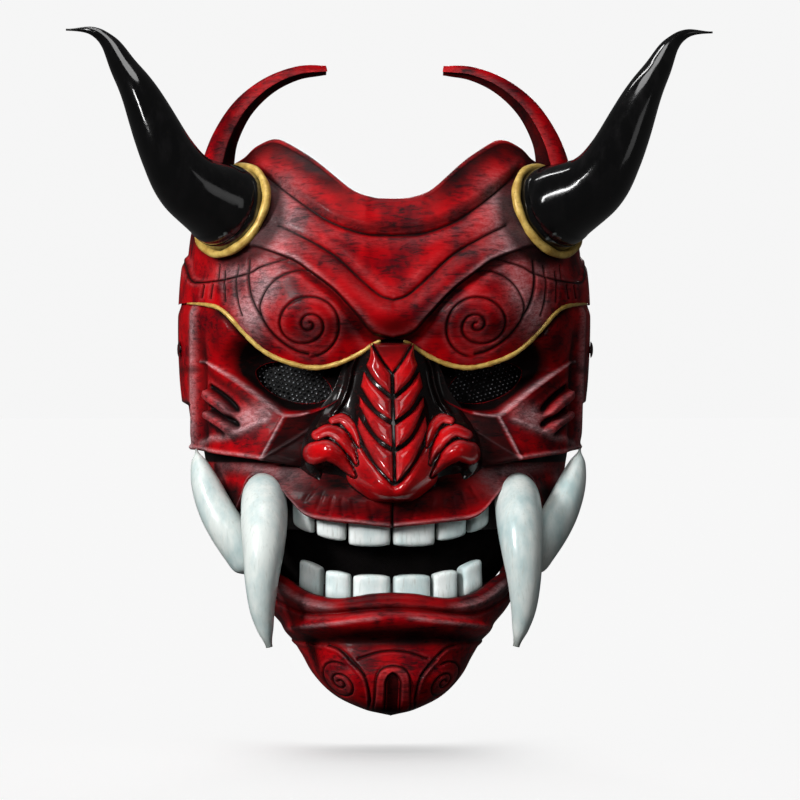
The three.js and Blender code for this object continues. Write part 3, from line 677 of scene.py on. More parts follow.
# ---------------------------------------------------------------- cheeks and eye sockets
LEDGE = line((0, 118), (22, 119), (38, 120), (46, 121), (63, 124.2), (80, 126.4), (95, 128.6), (106, 129))
LID = line((22, 156), (29, 151), (39, 147), (50.6, 145.6), (58, 150.6), (67, 157.5), (77, 164.5), (87, 170.5),
           (93, 172))
APEX, FOOT, INNER = (50.6, 145.4), (61.2, 124.2), (28, 147)
GILLS = (
    (line((89, 159.5), (83.5, 156.5), (77, 151.5), (71.5, 145)), 7.0),
    (line((88.5, 149), (83.5, 147), (77, 143), (71, 138)), 6.2),
)


def beside(d, z, start, end):
    """Distance to the right of the straight line from one point to another."""
    run, rise = end[0] - start[0], end[1] - start[1]
    return ((d - start[0]) * rise - (z - start[1]) * run) / math.hypot(run, rise)


def cheek_relief(d, z):
    """Broad and fine height of the cheeks over their smooth section, and their paint, which includes painted
    shade in the sockets and painted highlights on the ridges.
    """
    lid = above(d, z, LID)
    under_brow = np.interp(d, *TRIM.T) - z
    tilt = 0.24
    u = (d - 46) * math.cos(tilt) + (z - 166) * math.sin(tilt)
    v = (z - 166) * math.cos(tilt) - (d - 46) * math.sin(tilt)
    eye = smooth(1.3 - (u / 32) ** 2 - (v / 19) ** 2, 0, 0.9) * smooth(lid, -0.6, 3.2)
    broad = -14.0 * eye
    broad -= through((0, 6), (20, 10), (60, 9), (80, 4), (92, 1.5))(d) * smooth(6 - under_brow, 0, 7)
    broad += 3.6 * bump(d, z, (79, 182), (9, 8))
    # Flat facets meet in creases from the lid's corner to the ledge and back to the nose.
    inside = np.maximum(beside(d, z, APEX, FOOT), 0)
    lower = np.maximum(beside(d, z, INNER, FOOT), 0) * (inside > 0)
    plate = smooth(-lid, -0.3, 1.2)
    broad += plate * (4.5 - 0.045 * np.maximum(d - 56, 0) ** 1.2) * (1 - smooth(d, 84, 91))
    broad -= plate * np.minimum(0.5 * inside, 10) * smooth(d, 12, 24) - 0.34 * plate * np.minimum(lower, 9)
    fine = 1.4 * furrow(d, z, LID[20:], 0.8, 0.03)
    crease = line(APEX, FOOT, steps=2)
    second = line(INNER, FOOT, steps=2)
    fine += 0.7 * furrow(d, z, crease, 0.7, 0.02) + 0.8 * furrow(d, z, second, 0.7, 0.02)
    ledge = above(d, z, LEDGE)
    fine += 1.2 * bell(ledge, 1.2, 1.2) * smooth(d, 42, 60)
    # Painted shade: black in the eye sockets and under the brow, dark below the lid and on the facet beside
    # the nose.
    dark_paint_and_shade = np.clip(np.maximum(2.2 * eye, smooth(7.0 - under_brow, 0, 5) * (1 - smooth(d, 82, 94))), 0, 1)
    dark_paint_and_shade = most(
        dark_paint_and_shade,
        0.9 * bump(d, z, (66, 170), (13, 7), 20),
        0.86 * plate * smooth(inside, 0.3, 2),
        0.62 * bell(lid, -4.0, 2.2) * smooth(d, 58, 68),
        0.35 * bump(d, z, (80, 184), (14, 10)),
    )
    # Painted highlights along the lid, the creases, the ledge and the low ridge, partly rubbed paint.
    wear_and_sheen = 0.9 * furrow(d, z, LID[20:], 0.55, 0.03) + 0.9 * furrow(d, z, crease, 0.55, 0.02)
    wear_and_sheen += 0.7 * furrow(d, z, second, 0.45, 0.02)
    wear_and_sheen += 0.45 * bell(ledge, 1.3, 0.8) * smooth(d, 54, 64)
    wear_and_sheen += 0.85 * bump(d, z, (66, 145.5), (9, 4.5), -28)
    low_ridge = line((94, 130.5), (86, 134), (78, 135), (68, 139.5), (55, 145), steps=12)
    wear_and_sheen += 0.6 * furrow(d, z, low_ridge, 1.5, 0.1)
    fine += 0.9 * furrow(d, z, low_ridge, 1.5, 0.1)
    # Two louvres are cut in the outer cheek: a slot painted black as shade, and a rounded blade below it,
    # with painted shade beneath it.
    for route, tall in GILLS:
        far, share = away(d, z, route)
        side = np.where(above(d, z, route[::-1]) > 0, -far, far)
        ends = smooth(share, 0.0, 0.12) * smooth(1 - share, 0.0, 0.2)
        blade = smooth(side, 0.0, 1.4) * (1 - smooth(side, 0.55 * tall, 0.95 * tall)) * ends
        slot = bell(side, -1.0, 1.5) * ends
        fine += 4.2 * blade - 2.8 * slot
        dark_paint_and_shade = most(
            dark_paint_and_shade,
            np.clip(1.6 * slot, 0, 1),
            0.9 * bell(side, tall, 1.7) * ends * smooth(d, 72, 80),
        )
        dark_paint_and_shade = dark_paint_and_shade * (1 - 0.9 * blade)
        wear_and_sheen = wear_and_sheen * (1 - 0.95 * blade) + 0.12 * bell(side, 1.4, 0.7) * ends
    # A dark channel runs down beside the side ridge, painted dark as shade, and the ridge carries a painted
    # highlight.
    channel = bell(d, 90 + 0.03 * (z - 150), 2.3) * smooth(z, 128, 136) * (1 - smooth(z, 176, 196))
    fine -= 1.6 * channel
    dark_paint_and_shade = np.maximum(dark_paint_and_shade, 0.75 * channel)
    ridge = bell(d, 95.3, 1.5) * (1 - smooth(z, 196, 203))
    fine += 1.5 * ridge
    wear_and_sheen += 0.65 * ridge
    # Below the ear's height the side steps in, and its lowest corner is cut away.
    fine -= 3.0 * smooth(152.5 - z, 0, 2.5) * smooth(d, 95, 99.5)
    fine -= 2.5 * smooth(137 - z, 0, 7) * smooth(d, 94, 99)
    # Painted shade under the step and where the cheek meets the nose.
    dark_paint_and_shade = most(
        dark_paint_and_shade,
        0.6 * bell(z, 152, 1.5) * smooth(d, 96, 99),
        0.95 * (1 - smooth(d, 24, 30)),
    )
    wear_and_sheen = wear_and_sheen * (1 - np.clip(2 * eye, 0, 1))
    return broad, fine, np.clip(dark_paint_and_shade, 0, 1), wear_and_sheen


def cheeks():
    columns, rows = 560, 150
    angle = angles(columns)[None, :]
    share = np.linspace(0, 1, rows)[:, None]
    z = 126 + 60 * share
    for _ in range(3):
        d = aside(angle, face_width(z))
        behind_brow = np.interp(d, *TRIM.T) + 2.5 + 9.0 * (1 - smooth(d, 56, 72))
        z = np.interp(d, *LEDGE.T) * (1 - share) + behind_brow * share
    broad, fine, dark_paint_and_shade, wear_and_sheen = cheek_relief(d, z)
    ridge, hollow = ridge_wear_and_hollow_shade(fine)
    # Hollows get painted shade and ridges a painted highlight.
    paint = {"dark_paint_and_shade": np.maximum(dark_paint_and_shade, 0.6 * hollow), "wear_and_sheen": wear_and_sheen + 0.15 * ridge}
    whole_angle = np.broadcast_to(angle, z.shape)
    outer, out = section(face_width, face_reach, 0, whole_angle, z, broad + fine)
    inner, _ = section(face_width, face_reach, 0, whole_angle, z, np.minimum(softened(broad, 4), 1) - WALL)
    under = [outer[0] - out[0] * 5.5 * t + [0, 0, 1.4 * t] for t in (1.0, 0.7, 0.4, 0.15)]
    outer = np.concatenate([under, outer])
    inner = np.concatenate([[inner[0]] * 4, inner])
    # The rows turned under the ledge are painted dark as shade.
    paint["dark_paint_and_shade"] = edged(paint["dark_paint_and_shade"], (1.0, 1.0, 1.0, 0.5))
    paint["wear_and_sheen"] = edged(paint["wear_and_sheen"], [0.0] * 4)
    made = thick_sheet("cheeks_and_sockets", outer, inner, RED, paint)
    for side in (-1, 1):
        cut_away(made, eye_cutter(side))
    return made


EYE_AT = (46.5, 161.5)
EYE_TILT = math.radians(17)


def eye_cutter(side):
    """An almond-shaped plug, tapering inwards, that opens the eye."""
    turn = np.linspace(0, 2 * np.pi, 48, endpoint=False)
    rings = []
    for y, grow in ((-100, 1.5), (-40, 0.5)):
        u = (18.5 + grow) * np.cos(turn)
        v = (8.4 + grow) * np.sin(turn) * np.abs(np.sin(turn)) ** 0.25
        x = EYE_AT[0] + u * math.cos(EYE_TILT) - v * math.sin(EYE_TILT)
        z = EYE_AT[1] + u * math.sin(EYE_TILT) + v * math.cos(EYE_TILT)
        ring = np.stack([side * x, 0 * x + y, z], -1)
        rings.append(ring if side > 0 else ring[::-1])
    paint = {"dark_paint_and_shade": np.ones((2, 48)), "wear_and_sheen": np.zeros((2, 48))}
    return lofted("eye_cutter", np.array(rings)[::-1], RED, paint)


# ---------------------------------------------------------------- nose
# Lower edges of the leaves on the nose's bridge, from the middle outwards, and the wedge above them.
LEAF_EDGES = (
    line((0, 165.7), (4, 171), (8.2, 177.6), (12, 184), (20, 198)),
    line((0, 153.8), (4.5, 157.5), (9.7, 162.7), (14.3, 169.5), (20, 179)),
    line((0, 141.6), (4.5, 144.4), (10.4, 149.4), (16.2, 157), (20, 164)),
    line((0, 128.6), (5.9, 132.5), (11.1, 138.2), (16.4, 147), (20, 154)),
    line((0, 112.6), (2.0, 113.7), (8.2, 120.6), (14.1, 129), (17.6, 138), (20, 146)),
)
NOSE_FOOT = line((0, 102.6), (7.4, 103.6), (13.4, 106.5), (20.8, 112.5), (24, 117))
# The curls over each nostril: the route, its half widths from end to end, and how far it stands out.
NOSE_CURLS = (
    (line((37.5, 127.4), (32, 128.6), (27, 125.8), (22, 120.5), (18.8, 116.8)),
     (5.6, 5.4, 4.3, 2.7, 1.2), 5.0),
    (line((36.5, 136.2), (30.5, 138.4), (25, 135.6), (20.4, 129), (17.8, 122.5)),
     (2.6, 3.2, 3.4, 2.6, 1.0), 4.6),
    (line((28.5, 143.2), (24, 144), (20.2, 140.6), (17.6, 134.5), (16.4, 130.8)),
     (2.0, 2.7, 2.6, 1.9, 0.8), 3.6),
)
NOSE_LOW, NOSE_HIGH = 102.5, 182
nose_half = through((NOSE_LOW, 10), (108, 24), (114, 38), (120, 45), (130, 45), (138, 42), (147, 36),
                    (158, 28), (168, 24), (NOSE_HIGH, 17))
nose_crown = through((NOSE_LOW, 5), (106, 15), (112, 22), (118, 24), (130, 21), (145, 16), (160, 11.5),
                     (172, 8), (NOSE_HIGH, 5))
leaf_reach = through((108, 19), (128, 17.4), (137, 17.8), (150, 16.6), (160, 15.8), (168, 14), (176, 11.5))


def pillow(inside, wide):
    """A rounded edge: 0 at an outline and 1 from some way inside it."""
    return np.sqrt(1 - (1 - np.clip(inside / wide, 0, 1)) ** 2)


def nose_relief(d, z):
    """Broad and fine height of the nose in front of the face, its black paint with painted shade in the
    nostrils, and its painted glints.
    """
    wide = through((102, 11), (112, 17), (125, 17), (150, 16), (182, 14))(z)
    bridge = nose_crown(z) * np.exp(-((d / wide) ** 3.2))
    wing = 15.5 * bump(d, z, (31, 129), (12, 11), 20) ** 0.8
    broad = np.maximum(bridge, 0) + wing * smooth(d, 10, 24)
    broad += 3.0 * bell(d, 17, 6) * bump(d, z, (17, 121), (9, 6))
    edges = [np.interp(d, *edge.T) for edge in LEAF_EDGES]
    reach = leaf_reach(z) - d
    lumps = np.zeros_like(d)
    skin = np.zeros_like(d)
    glint = np.zeros_like(d)
    for upper, lower in zip(edges[:-1], edges[1:]):
        rising = 0.76 * (z - lower) - 2.6 * smooth(d, 7, 17)
        inside = np.minimum.reduce([rising, 0.76 * (upper - z), d + 0.1, reach])
        body = pillow(inside - 0.9, 3.4)
        lumps = np.maximum(lumps, 4.2 * body + 0.16 * (upper - z) * (body > 0))
        skin = np.maximum(skin, smooth(inside, 0.85, 1.25))
        glint = np.maximum(glint, bell(inside, 1.7, 0.4) * (rising > inside + 0.2) * (d < 4))
    wedge = np.minimum(0.76 * (z - edges[0]), 181 - z)
    lumps = np.maximum(lumps, 3.0 * pillow(wedge, 2.5) * smooth(12 - d, 0, 2))
    skin = np.maximum(skin, smooth(wedge, 0.3, 0.8) * (0.8 - 0.45 * smooth(z, 168, 178)))
    tip = np.minimum(0.76 * (edges[-1] - z), z - np.interp(d, *NOSE_FOOT.T)) * smooth(23 - d, 0, 3)
    lumps = np.maximum(lumps, 4.4 * pillow(tip - 0.4, 4.5))
    skin = np.maximum(skin, smooth(tip, 0.3, 0.8))
    for route, radii, rise in NOSE_CURLS:
        far, share = away(d, z, route)
        inside = np.interp(share, np.linspace(0, 1, len(radii)), radii) - far
        body = pillow(inside, 3.4)
        lumps = np.where(inside > -0.5, np.maximum(lumps * (inside < 0), rise * body), lumps)
        skin = np.where(inside > -0.5, smooth(inside, 0.0, 0.5), skin)
        glint = np.maximum(glint, 0.8 * bell(inside, 1.3, 0.5) * (share < 0.5) * (z > 128))
    fold = bell(d, through((145, 28), (152, 24), (160, 21), (168, 19.5), (176, 17))(z), 1.5)
    fold = fold * smooth(z, 143, 149) * smooth(180 - z, 0, 8)
    lumps = np.maximum(lumps, 3.0 * fold)
    # The nostrils are sunk and painted black as shade.
    nostril = bump(d, z, (28, 117.8), (6.5, 3.8), 20) * (1 - smooth(skin, 0.5, 1))
    fine = lumps - 10.0 * nostril
    dark_paint_and_shade = np.maximum(1 - smooth(skin, 0.1, 0.6), smooth(nostril, 0.2, 0.5))
    return broad, fine, dark_paint_and_shade, glint * skin


def nose():
    columns, rows = 261, 300
    side = np.linspace(-1, 1, columns)[None, :]
    z = np.linspace(NOSE_LOW, NOSE_HIGH, rows)[:, None] + 0 * side
    x = side * nose_half(z)
    d = np.abs(x)
    broad, fine, dark_paint_and_shade, glint = nose_relief(d, z)
    rim = smooth(1 - np.abs(side), 0, 0.1) * smooth(z - NOSE_LOW, 0, 3) * smooth(NOSE_HIGH - z, 0, 3)
    rest = np.maximum(base_front(x, np.maximum(z, 121)) - 2.5, lip_front(x, np.minimum(z, 126)) - 2.5)
    rest = softened(rest, 8)
    y = -rest - (broad + fine) * rim
    ridge, hollow = ridge_wear_and_hollow_shade(fine, 4)
    outer = np.stack([x, y, z], -1)
    inner = np.stack([x * 0.99, -rest - np.maximum(softened(broad, 10) * rim - 4, -1), z], -1)
    # Hollows get painted shade; the painted glints and ridges go into the pale paint as highlights.
    paint = {"dark_paint_and_shade": np.maximum(dark_paint_and_shade, 0.2 * hollow), "wear_and_sheen": 0.75 * glint + 0.15 * ridge}
    return thick_sheet("nose", outer, inner, GLOSS_RED, paint)


# ---------------------------------------------------------------- upper lip
lip_width = through((90, 87), (118, 90.5), (126, 91.8), (140, 94))
lip_reach = through((90, 90), (108, 89), (120, 83), (126, 79.6), (140, 77))
LIP = line((0, 91.4), (17.8, 93.3), (31.5, 94.6), (39, 96), (44, 99), (48.5, 104), (53, 109), (58.5, 113.6),
           (65, 116.2), (69.5, 113), (72.4, 104), (75.2, 98.5), (79, 102), (83, 106.5), (87, 112), (90, 118),
           (97, 122))
# Fine creases in the upper lip, each from its foot to its head.
LIP_FOLDS = (((9, 94), (12, 105)), ((17, 94.5), (20, 107)), ((24, 95), (24.5, 108)), ((31, 96), (28, 109)),
             ((37, 98.5), (32, 111)), ((43, 103), (36, 113)))


def lip_front(x, z):
    """How far the upper lip's smooth section stands in front of the rim plane at a place."""
    s = np.clip(np.abs(x) / lip_width(z), 0, 1) ** (1 / ROUNDNESS)
    return lip_reach(z) * np.sqrt(1 - s * s) ** ROUNDNESS


def upper_lip():
    columns, rows = 640, 96
    angle = angles(columns, 76, front=0.0)[None, :]
    share = np.linspace(0, 1, rows)[:, None] ** 1.1
    z = 100 + 30 * share
    for _ in range(4):
        d = aside(angle, lip_width(z))
        z = np.interp(d, *LIP.T) * (1 - share) + 129 * share
    edge = z - np.interp(d, *LIP.T)
    broad = 3.0 * bump(d, z, (0, 104), (44, 9)) - 1.5 * bump(d, z, (66, 121), (14, 4))
    fine = 0.8 * bell(edge, 1.2, 1.0) - 1.0 * bell(np.minimum(edge, 9), 0, 0.5)
    creases = np.zeros_like(d)
    for foot, head in LIP_FOLDS:
        creases = np.maximum(creases, furrow(d, z, line(foot, head, steps=2), 1.1, 0.3))
    middle = furrow(d, z, line((0, 88), (0, 105), steps=2), 0.8, 0.05)
    fine -= 0.5 * creases + 1.6 * middle
    dark_paint_and_shade = np.maximum(0.4 * creases, middle)
    # Painted shade under the ledge and the nose, towards the mouth's corners, and black on the side wall
    # behind the tusk.
    dark_paint_and_shade = most(
        dark_paint_and_shade,
        smooth(z, 121.2, 123.2) * smooth(d, 30, 44) + (1 - smooth(d, 30, 44)) * smooth(z, 117, 120),
        0.95 * bump(d, z, (25, 113), (19, 9)) + 0.25 * creases,
        0.7 * bump(d, z, (45, 112), (13, 9), -20),
        0.5 * smooth(d, 50, 60) * smooth(z, 112, 118),
        0.62 * smooth(edge, 2.0, 8.0) * (1 - smooth(d, 52, 62)),
        0.9 * smooth(d, 71, 75) * (1 - smooth(z, 108, 117)),
    )
    # Pale paint on the lip's rim and on patches beside it, partly a painted sheen.
    wear_and_sheen = 1.0 * bump(d, z, (62, 119.3), (15, 2.6), 6) + 0.5 * bump(d, z, (48, 113), (9, 5), -40)
    wear_and_sheen += 0.6 * bump(d, z, (83, 116), (2.5, 5))
    wear_and_sheen += 0.5 * bell(edge, 1.4, 0.7) * (d < 74)
    whole_angle = np.broadcast_to(angle, z.shape)
    outer, _ = section(lip_width, lip_reach, 0, whole_angle, z, broad + fine)
    inner, _ = section(lip_width, lip_reach, 0, whole_angle, z, broad * 0.5 - WALL)
    paint = {"dark_paint_and_shade": dark_paint_and_shade, "wear_and_sheen": wear_and_sheen}
    return thick_sheet("upper_lip", outer, inner, RED, paint, step=4)


# ---------------------------------------------------------------- lower jaw
jaw_width = through((0, 0.02), (0.5, 5), (2, 13), (8, 25.5), (18, 36), (28, 42), (41, 50.5), (52, 59.5),
                    (66, 66), (84, 71), (100, 74), (118, 77))
jaw_reach = through((0, 72), (3, 82), (9, 90), (20, 96), (33, 93), (45, 98), (58, 95), (80, 88), (118, 80))
JAW_BACK = 30
JAW_TOP = line((0, 58), (10.7, 57.4), (18.7, 56.1), (28.4, 55.2), (38, 56.6), (44.4, 59), (51, 63.5),
               (57.3, 68.6), (62, 80), (66, 100), (70, 133), (92, 134))
LIP_RIDGE = line((-45, 43), (-26, 46.5), (-10, 48.9), (0, 49), (10, 48.9), (26, 46.5), (45, 43), (52, 41))
JAW_RIM = line((-12, 55.4), (0, 55.8), (14, 55), (28, 53.6), (40, 55), (50, 60), (58, 66.5))
LIP_CREASE = line((-14, 52.6), (0, 52.8), (14, 52.2), (28, 50.8), (42, 50.5), (54, 55), (60, 60))
CHIN_SHELL = curl((24.0, 16.8), (-60, 790), (-60, 1.2), (60, 1.8), (240, 3.2), (420, 5.6), (600, 8.4),
                  (790, 12.2), squash=0.62, tilt=48)
CHIN_LINES = (
    (line((-8.0, 19.5), (-5.6, 24), (0, 25.6), (5.6, 24), (8.0, 19.5), (8.4, 12), (8.7, 0)), 0.7),
    (line((-3.3, 18.5), (0, 22.0), (3.3, 18.5), (3.6, 12), (3.7, 0)), 0.6),
    (line((-17.7, 28.4), (-8, 31.6), (0, 32.6), (8, 31.6), (17.7, 28.4)), 0.6),
    (line((32.5, 35), (26, 33), (19.5, 27.5), (13.6, 20), (11, 10), (11.4, 3)), 0.75),
    (line((21.5, 28.6), (17.5, 25), (13, 20.2)), 0.5),
)


def jaw_relief(d, z):
    """Broad and fine height of the jaw over its smooth section, and its paint, which includes painted shade
    and a painted highlight on the lip.
    """
    chin = 1 - smooth(z, 33, 38)
    ridge_at = above(d, z, LIP_RIDGE)
    ends = 1 - smooth(d, 40, 54)
    lip = np.where(ridge_at > 0, bell(ridge_at, 0, 2.6), bell(ridge_at, 0, 5.5)) * ends
    broad = 4.6 * lip - 3.4 * bell(z, 37.5, 3.6) * (1 - smooth(d, 36, 50))
    rim = furrow(d, z, JAW_RIM, 2.0, 0.02)
    broad += 2.2 * rim
    crease = furrow(d, z, LIP_CREASE, 1.1, 0.02)
    fine = -1.3 * crease
    dark_paint_and_shade = 0.7 * crease
    # Painted shade below the lip's roll, over its top and towards the mouth's corners.
    dark_paint_and_shade = most(
        dark_paint_and_shade,
        0.88 * smooth(-ridge_at, 2.0, 7.5) * smooth(z, 32, 37),
        0.45 * smooth(ridge_at, 1.2, 3.0) * smooth(z, 44, 50),
        0.55 * smooth(d, 40, 52) * smooth(z, 30, 44),
        0.85 * smooth(d, 47, 57) * smooth(z, 50, 58),
    )
    # The chin's keyhole arch, an arc over it, and a curled shell on each side.
    band = np.where(z < 18.5, np.abs(d - 6.0), np.abs(np.hypot(d, z - 18.5) - 5.8))
    fine += 1.4 * smooth(2.5 - band, -0.5, 0.8) * chin
    for route, wide in (*CHIN_LINES, (CHIN_SHELL, 0.55)):
        mark = furrow(d, z, route, wide, 0.02)
        fine -= 1.0 * mark
        dark_paint_and_shade = np.maximum(dark_paint_and_shade, 0.92 * mark)
    fine += 1.8 * bump(d, z, (24.0, 16.8), (11, 6.5), 48) * chin
    over_strand = above(d, z, CHIN_LINES[3][0][::-1])
    fine += smooth(over_strand, -3.0, -0.5) * (1 - smooth(over_strand, -0.5, 0.5)) * chin
    # The keyhole slot is sunk and painted dark as shade.
    slot = smooth(3.2 - d, 0, 0.7) * (1 - smooth(np.hypot(d, np.maximum(z - 18.5, 0)), 2.6, 3.3))
    dark_paint_and_shade = np.maximum(dark_paint_and_shade, 0.8 * slot)
    fine = (fine - 1.2 * slot) * (smooth(z, 1, 9) + 0.001)
    # A painted highlight along the lip's roll, with rubbed paint on the rim and the chin.
    wear_and_sheen = 0.5 * bell(ridge_at, -0.4, 0.9) * ends * smooth(d, 4, 12)
    wear_and_sheen += 0.7 * rim * smooth(d, 24, 34) + 0.5 * bump(d, z, (53, 62), (5, 3), 45)
    wear_and_sheen += 0.06 * chin * smooth(fine, 0.9, 1.6)
    # Above the mouth's corners the jaw is painted black as shade inside the mouth.
    dark_paint_and_shade = np.maximum(dark_paint_and_shade, smooth(z, 68, 76))
    return broad, fine, dark_paint_and_shade, wear_and_sheen


def jaw():
    columns, rows = 420, 200
    angle = angles(columns, front=0.5)[None, :]
    share = np.linspace(0, 1, rows)[:, None] ** 1.15
    z = 60 * share + 0 * angle
    for _ in range(8):
        d = aside(angle, jaw_width(z))
        z = 0.6 * z + 0.4 * np.interp(d, *JAW_TOP.T) * share
    d = aside(angle, jaw_width(z))
    broad, fine, dark_paint_and_shade, wear_and_sheen = jaw_relief(d, z)
    ridge, hollow = ridge_wear_and_hollow_shade(fine)
    keel = smooth(z, 0, 6)
    whole_angle = np.broadcast_to(angle, z.shape)
    outer, out = section(jaw_width, jaw_reach, JAW_BACK, whole_angle, z, (broad + fine) * keel)
    narrow = through((0, 0), (2, -1.2), (14, -2.4), (30, -WALL))(z)
    inner, _ = section(jaw_width, jaw_reach, JAW_BACK, whole_angle, z, narrow)
    top = turned_over(outer[-1], out[-1], 4.5, 2.6, (0.4, 0.8, 1.2, 1.57))
    outer = np.concatenate([outer, top])
    inner = np.concatenate([inner, [inner[-1]] * 4])
    # Hollows get painted shade, the top rows turning into the mouth darken as painted shade, and ridges get a
    # painted highlight.
    dark_paint_and_shade = np.maximum(dark_paint_and_shade, 0.6 * hollow)
    dark_paint_and_shade = np.vstack([dark_paint_and_shade, *(np.maximum(dark_paint_and_shade[-1], v) for v in (0.1, 0.3, 0.6, 0.9))])
    wear_and_sheen = edged(wear_and_sheen + (0.12 + 0.23 * smooth(z, 33, 38)) * ridge, (), [0.0] * 4)
    return thick_sheet("lower_jaw_and_chin", outer, inner, RED, {"dark_paint_and_shade": dark_paint_and_shade, "wear_and_sheen": wear_and_sheen})


# ---------------------------------------------------------------- horns, collars and arms
SEAT_OUT, SEAT_UP = math.radians(47), math.radians(20)
SEAT_FLAT = np.array([math.sin(SEAT_OUT), -math.cos(SEAT_OUT), 0])
SEAT_AXIS = math.cos(SEAT_UP) * SEAT_FLAT + math.sin(SEAT_UP) * np.array([0, 0, 1])
SEAT = np.array([RING_AT[0], -float(base_front(*RING_AT)), RING_AT[1]])


def horn(name):
    foot = [SEAT + t * SEAT_AXIS for t in (-5, 1, 7, 12)]
    route = line(*foot, (98, -82, 257), (108, -86, 271.5), (120.8, -84, 299), (129, -79, 313),
                 (136, -74, 325), (144.5, -71, 331.3), (157, -69, 332), steps=20)
    length = np.insert(np.cumsum(np.linalg.norm(np.diff(route, axis=0), axis=1)), 0, 0)
    radius = through((0, 20.5), (6, 21), (12, 20.6), (18, 19.6), (32, 16.6), (50, 13.8), (80, 9.9), (97, 7.2),
                     (112, 5.0), (122, 3.0), (length[-1], 0.5))(length)
    radius = radius * (1 + 0.01 * np.sin(length / 5) * (1 - length / length[-1]))
    return lofted(name, tube_rings(route, radius, 72), HORN)


def collar(name):
    """A gold ring round the horn's foot, a little uneven, as if laid on by hand."""
    turn = np.linspace(0, 2 * np.pi, 144, endpoint=False)
    across = unit(np.cross(SEAT_AXIS, [0, 0, 1]))
    up = np.cross(across, SEAT_AXIS)
    centre = SEAT + 1.2 * SEAT_AXIS
    around = across * np.cos(turn)[:, None] + up * np.sin(turn)[:, None]
    wobble = 22.7 + 0.25 * np.sin(3 * turn + 1) + 0.15 * np.sin(7 * turn)
    section_turn = np.linspace(0, 2 * np.pi, 28, endpoint=False)
    thick = 2.0 + 0.2 * np.sin(5 * turn) + 0.12 * np.sin(11 * turn + 2)
    outwards = wobble[:, None] + thick[:, None] * np.cos(section_turn)
    along = 1.05 * thick[:, None] * np.sin(section_turn)
    rings = centre + around[:, None] * outwards[..., None] + SEAT_AXIS * along[..., None]
    count, sides = rings.shape[:2]
    i = np.arange(count * sides).reshape(count, sides)
    corners = [np.roll(i, shift, (0, 1)) for shift in ((0, 0), (0, -1), (-1, -1), (-1, 0))]
    faces = np.stack(corners, -1).reshape(-1, 4)
    return mesh_object(name, rings, faces[:, ::-1], GOLD)


def crown_arm(name):
    """A curved band: round and red outside, hollow and black inside, thinning to a blunt tip."""
    route = line((81, -28, 258), (80.5, -26, 270), (77, -24, 283), (69, -21, 297), (57, -18, 308),
                 (43, -15, 314.5), (29, -13, 316.3), steps=22)
    share = np.linspace(0, 1, len(route))
    width = through((0, 21), (0.35, 13), (0.7, 8.6), (0.93, 6.0), (1, 4.6))(share)
    thick = through((0, 14), (0.35, 10.5), (0.7, 6.6), (0.93, 4.8), (1, 4.0))(share)
    ahead = np.gradient(route, axis=0)
    outward = unit(np.stack([ahead[:, 2], 0 * share, -ahead[:, 0]], -1))
    backward = np.cross(unit(ahead), outward)
    lean = math.radians(20)
    wide = backward * math.cos(lean) - outward * math.sin(lean)
    deep = outward * math.cos(lean) + backward * math.sin(lean)
    turn = np.linspace(0, 2 * np.pi, 48, endpoint=False)
    w, up = np.cos(turn), np.sin(turn)
    domed = np.where(up > 0, np.abs(up) ** 0.8, -0.25 * np.abs(up)) - 0.2
    d = domed + np.where(up < -0.05, 0.45 * (1 - w**2), 0)
    rings = route[:, None] + wide[:, None] * (width[:, None, None] / 2) * w[None, :, None]
    rings = rings + deep[:, None] * thick[:, None, None] * d[None, :, None]
    inside = np.broadcast_to(smooth(-up, 0.1, 0.3) * smooth(w, -0.95, -0.75), rings.shape[:2])
    edge = np.broadcast_to(bell(up, 0, 0.2), rings.shape[:2])
    return lofted(name, rings, RED, {"dark_paint_and_shade": 0.82 * inside, "wear_and_sheen": 0.1 * edge})


def brow_trim(name):
    """A gold bead laid along the lower edge of the brow, from the nose to the side of the face."""
    d = np.linspace(5.5, 98.2, 170)
    z = np.interp(d, *TRIM.T)
    for _ in range(2):
        z = np.convolve(np.pad(z, 2, mode="edge"), np.ones(5) / 5, mode="valid")
    broad, fine, _, _ = brow_relief(d, z + 0.4)
    s = np.clip(d / face_width(z), 0, 0.9999) ** (1 / ROUNDNESS)
    route, _ = section(face_width, face_reach, 0, np.arcsin(s), z, broad + fine + 0.1)
    share = np.linspace(0, 1, len(d))
    radius = 1.15 * through((0, 0.55), (0.06, 0.95), (0.5, 1.1), (0.9, 0.85), (1, 0.4))(share)
    radius = radius * (1 + 0.06 * np.sin(share * 60) + 0.05 * np.sin(share * 143))
    return lofted(name, tube_rings(route, radius, 14, across=(0, 0, 1)), GOLD)


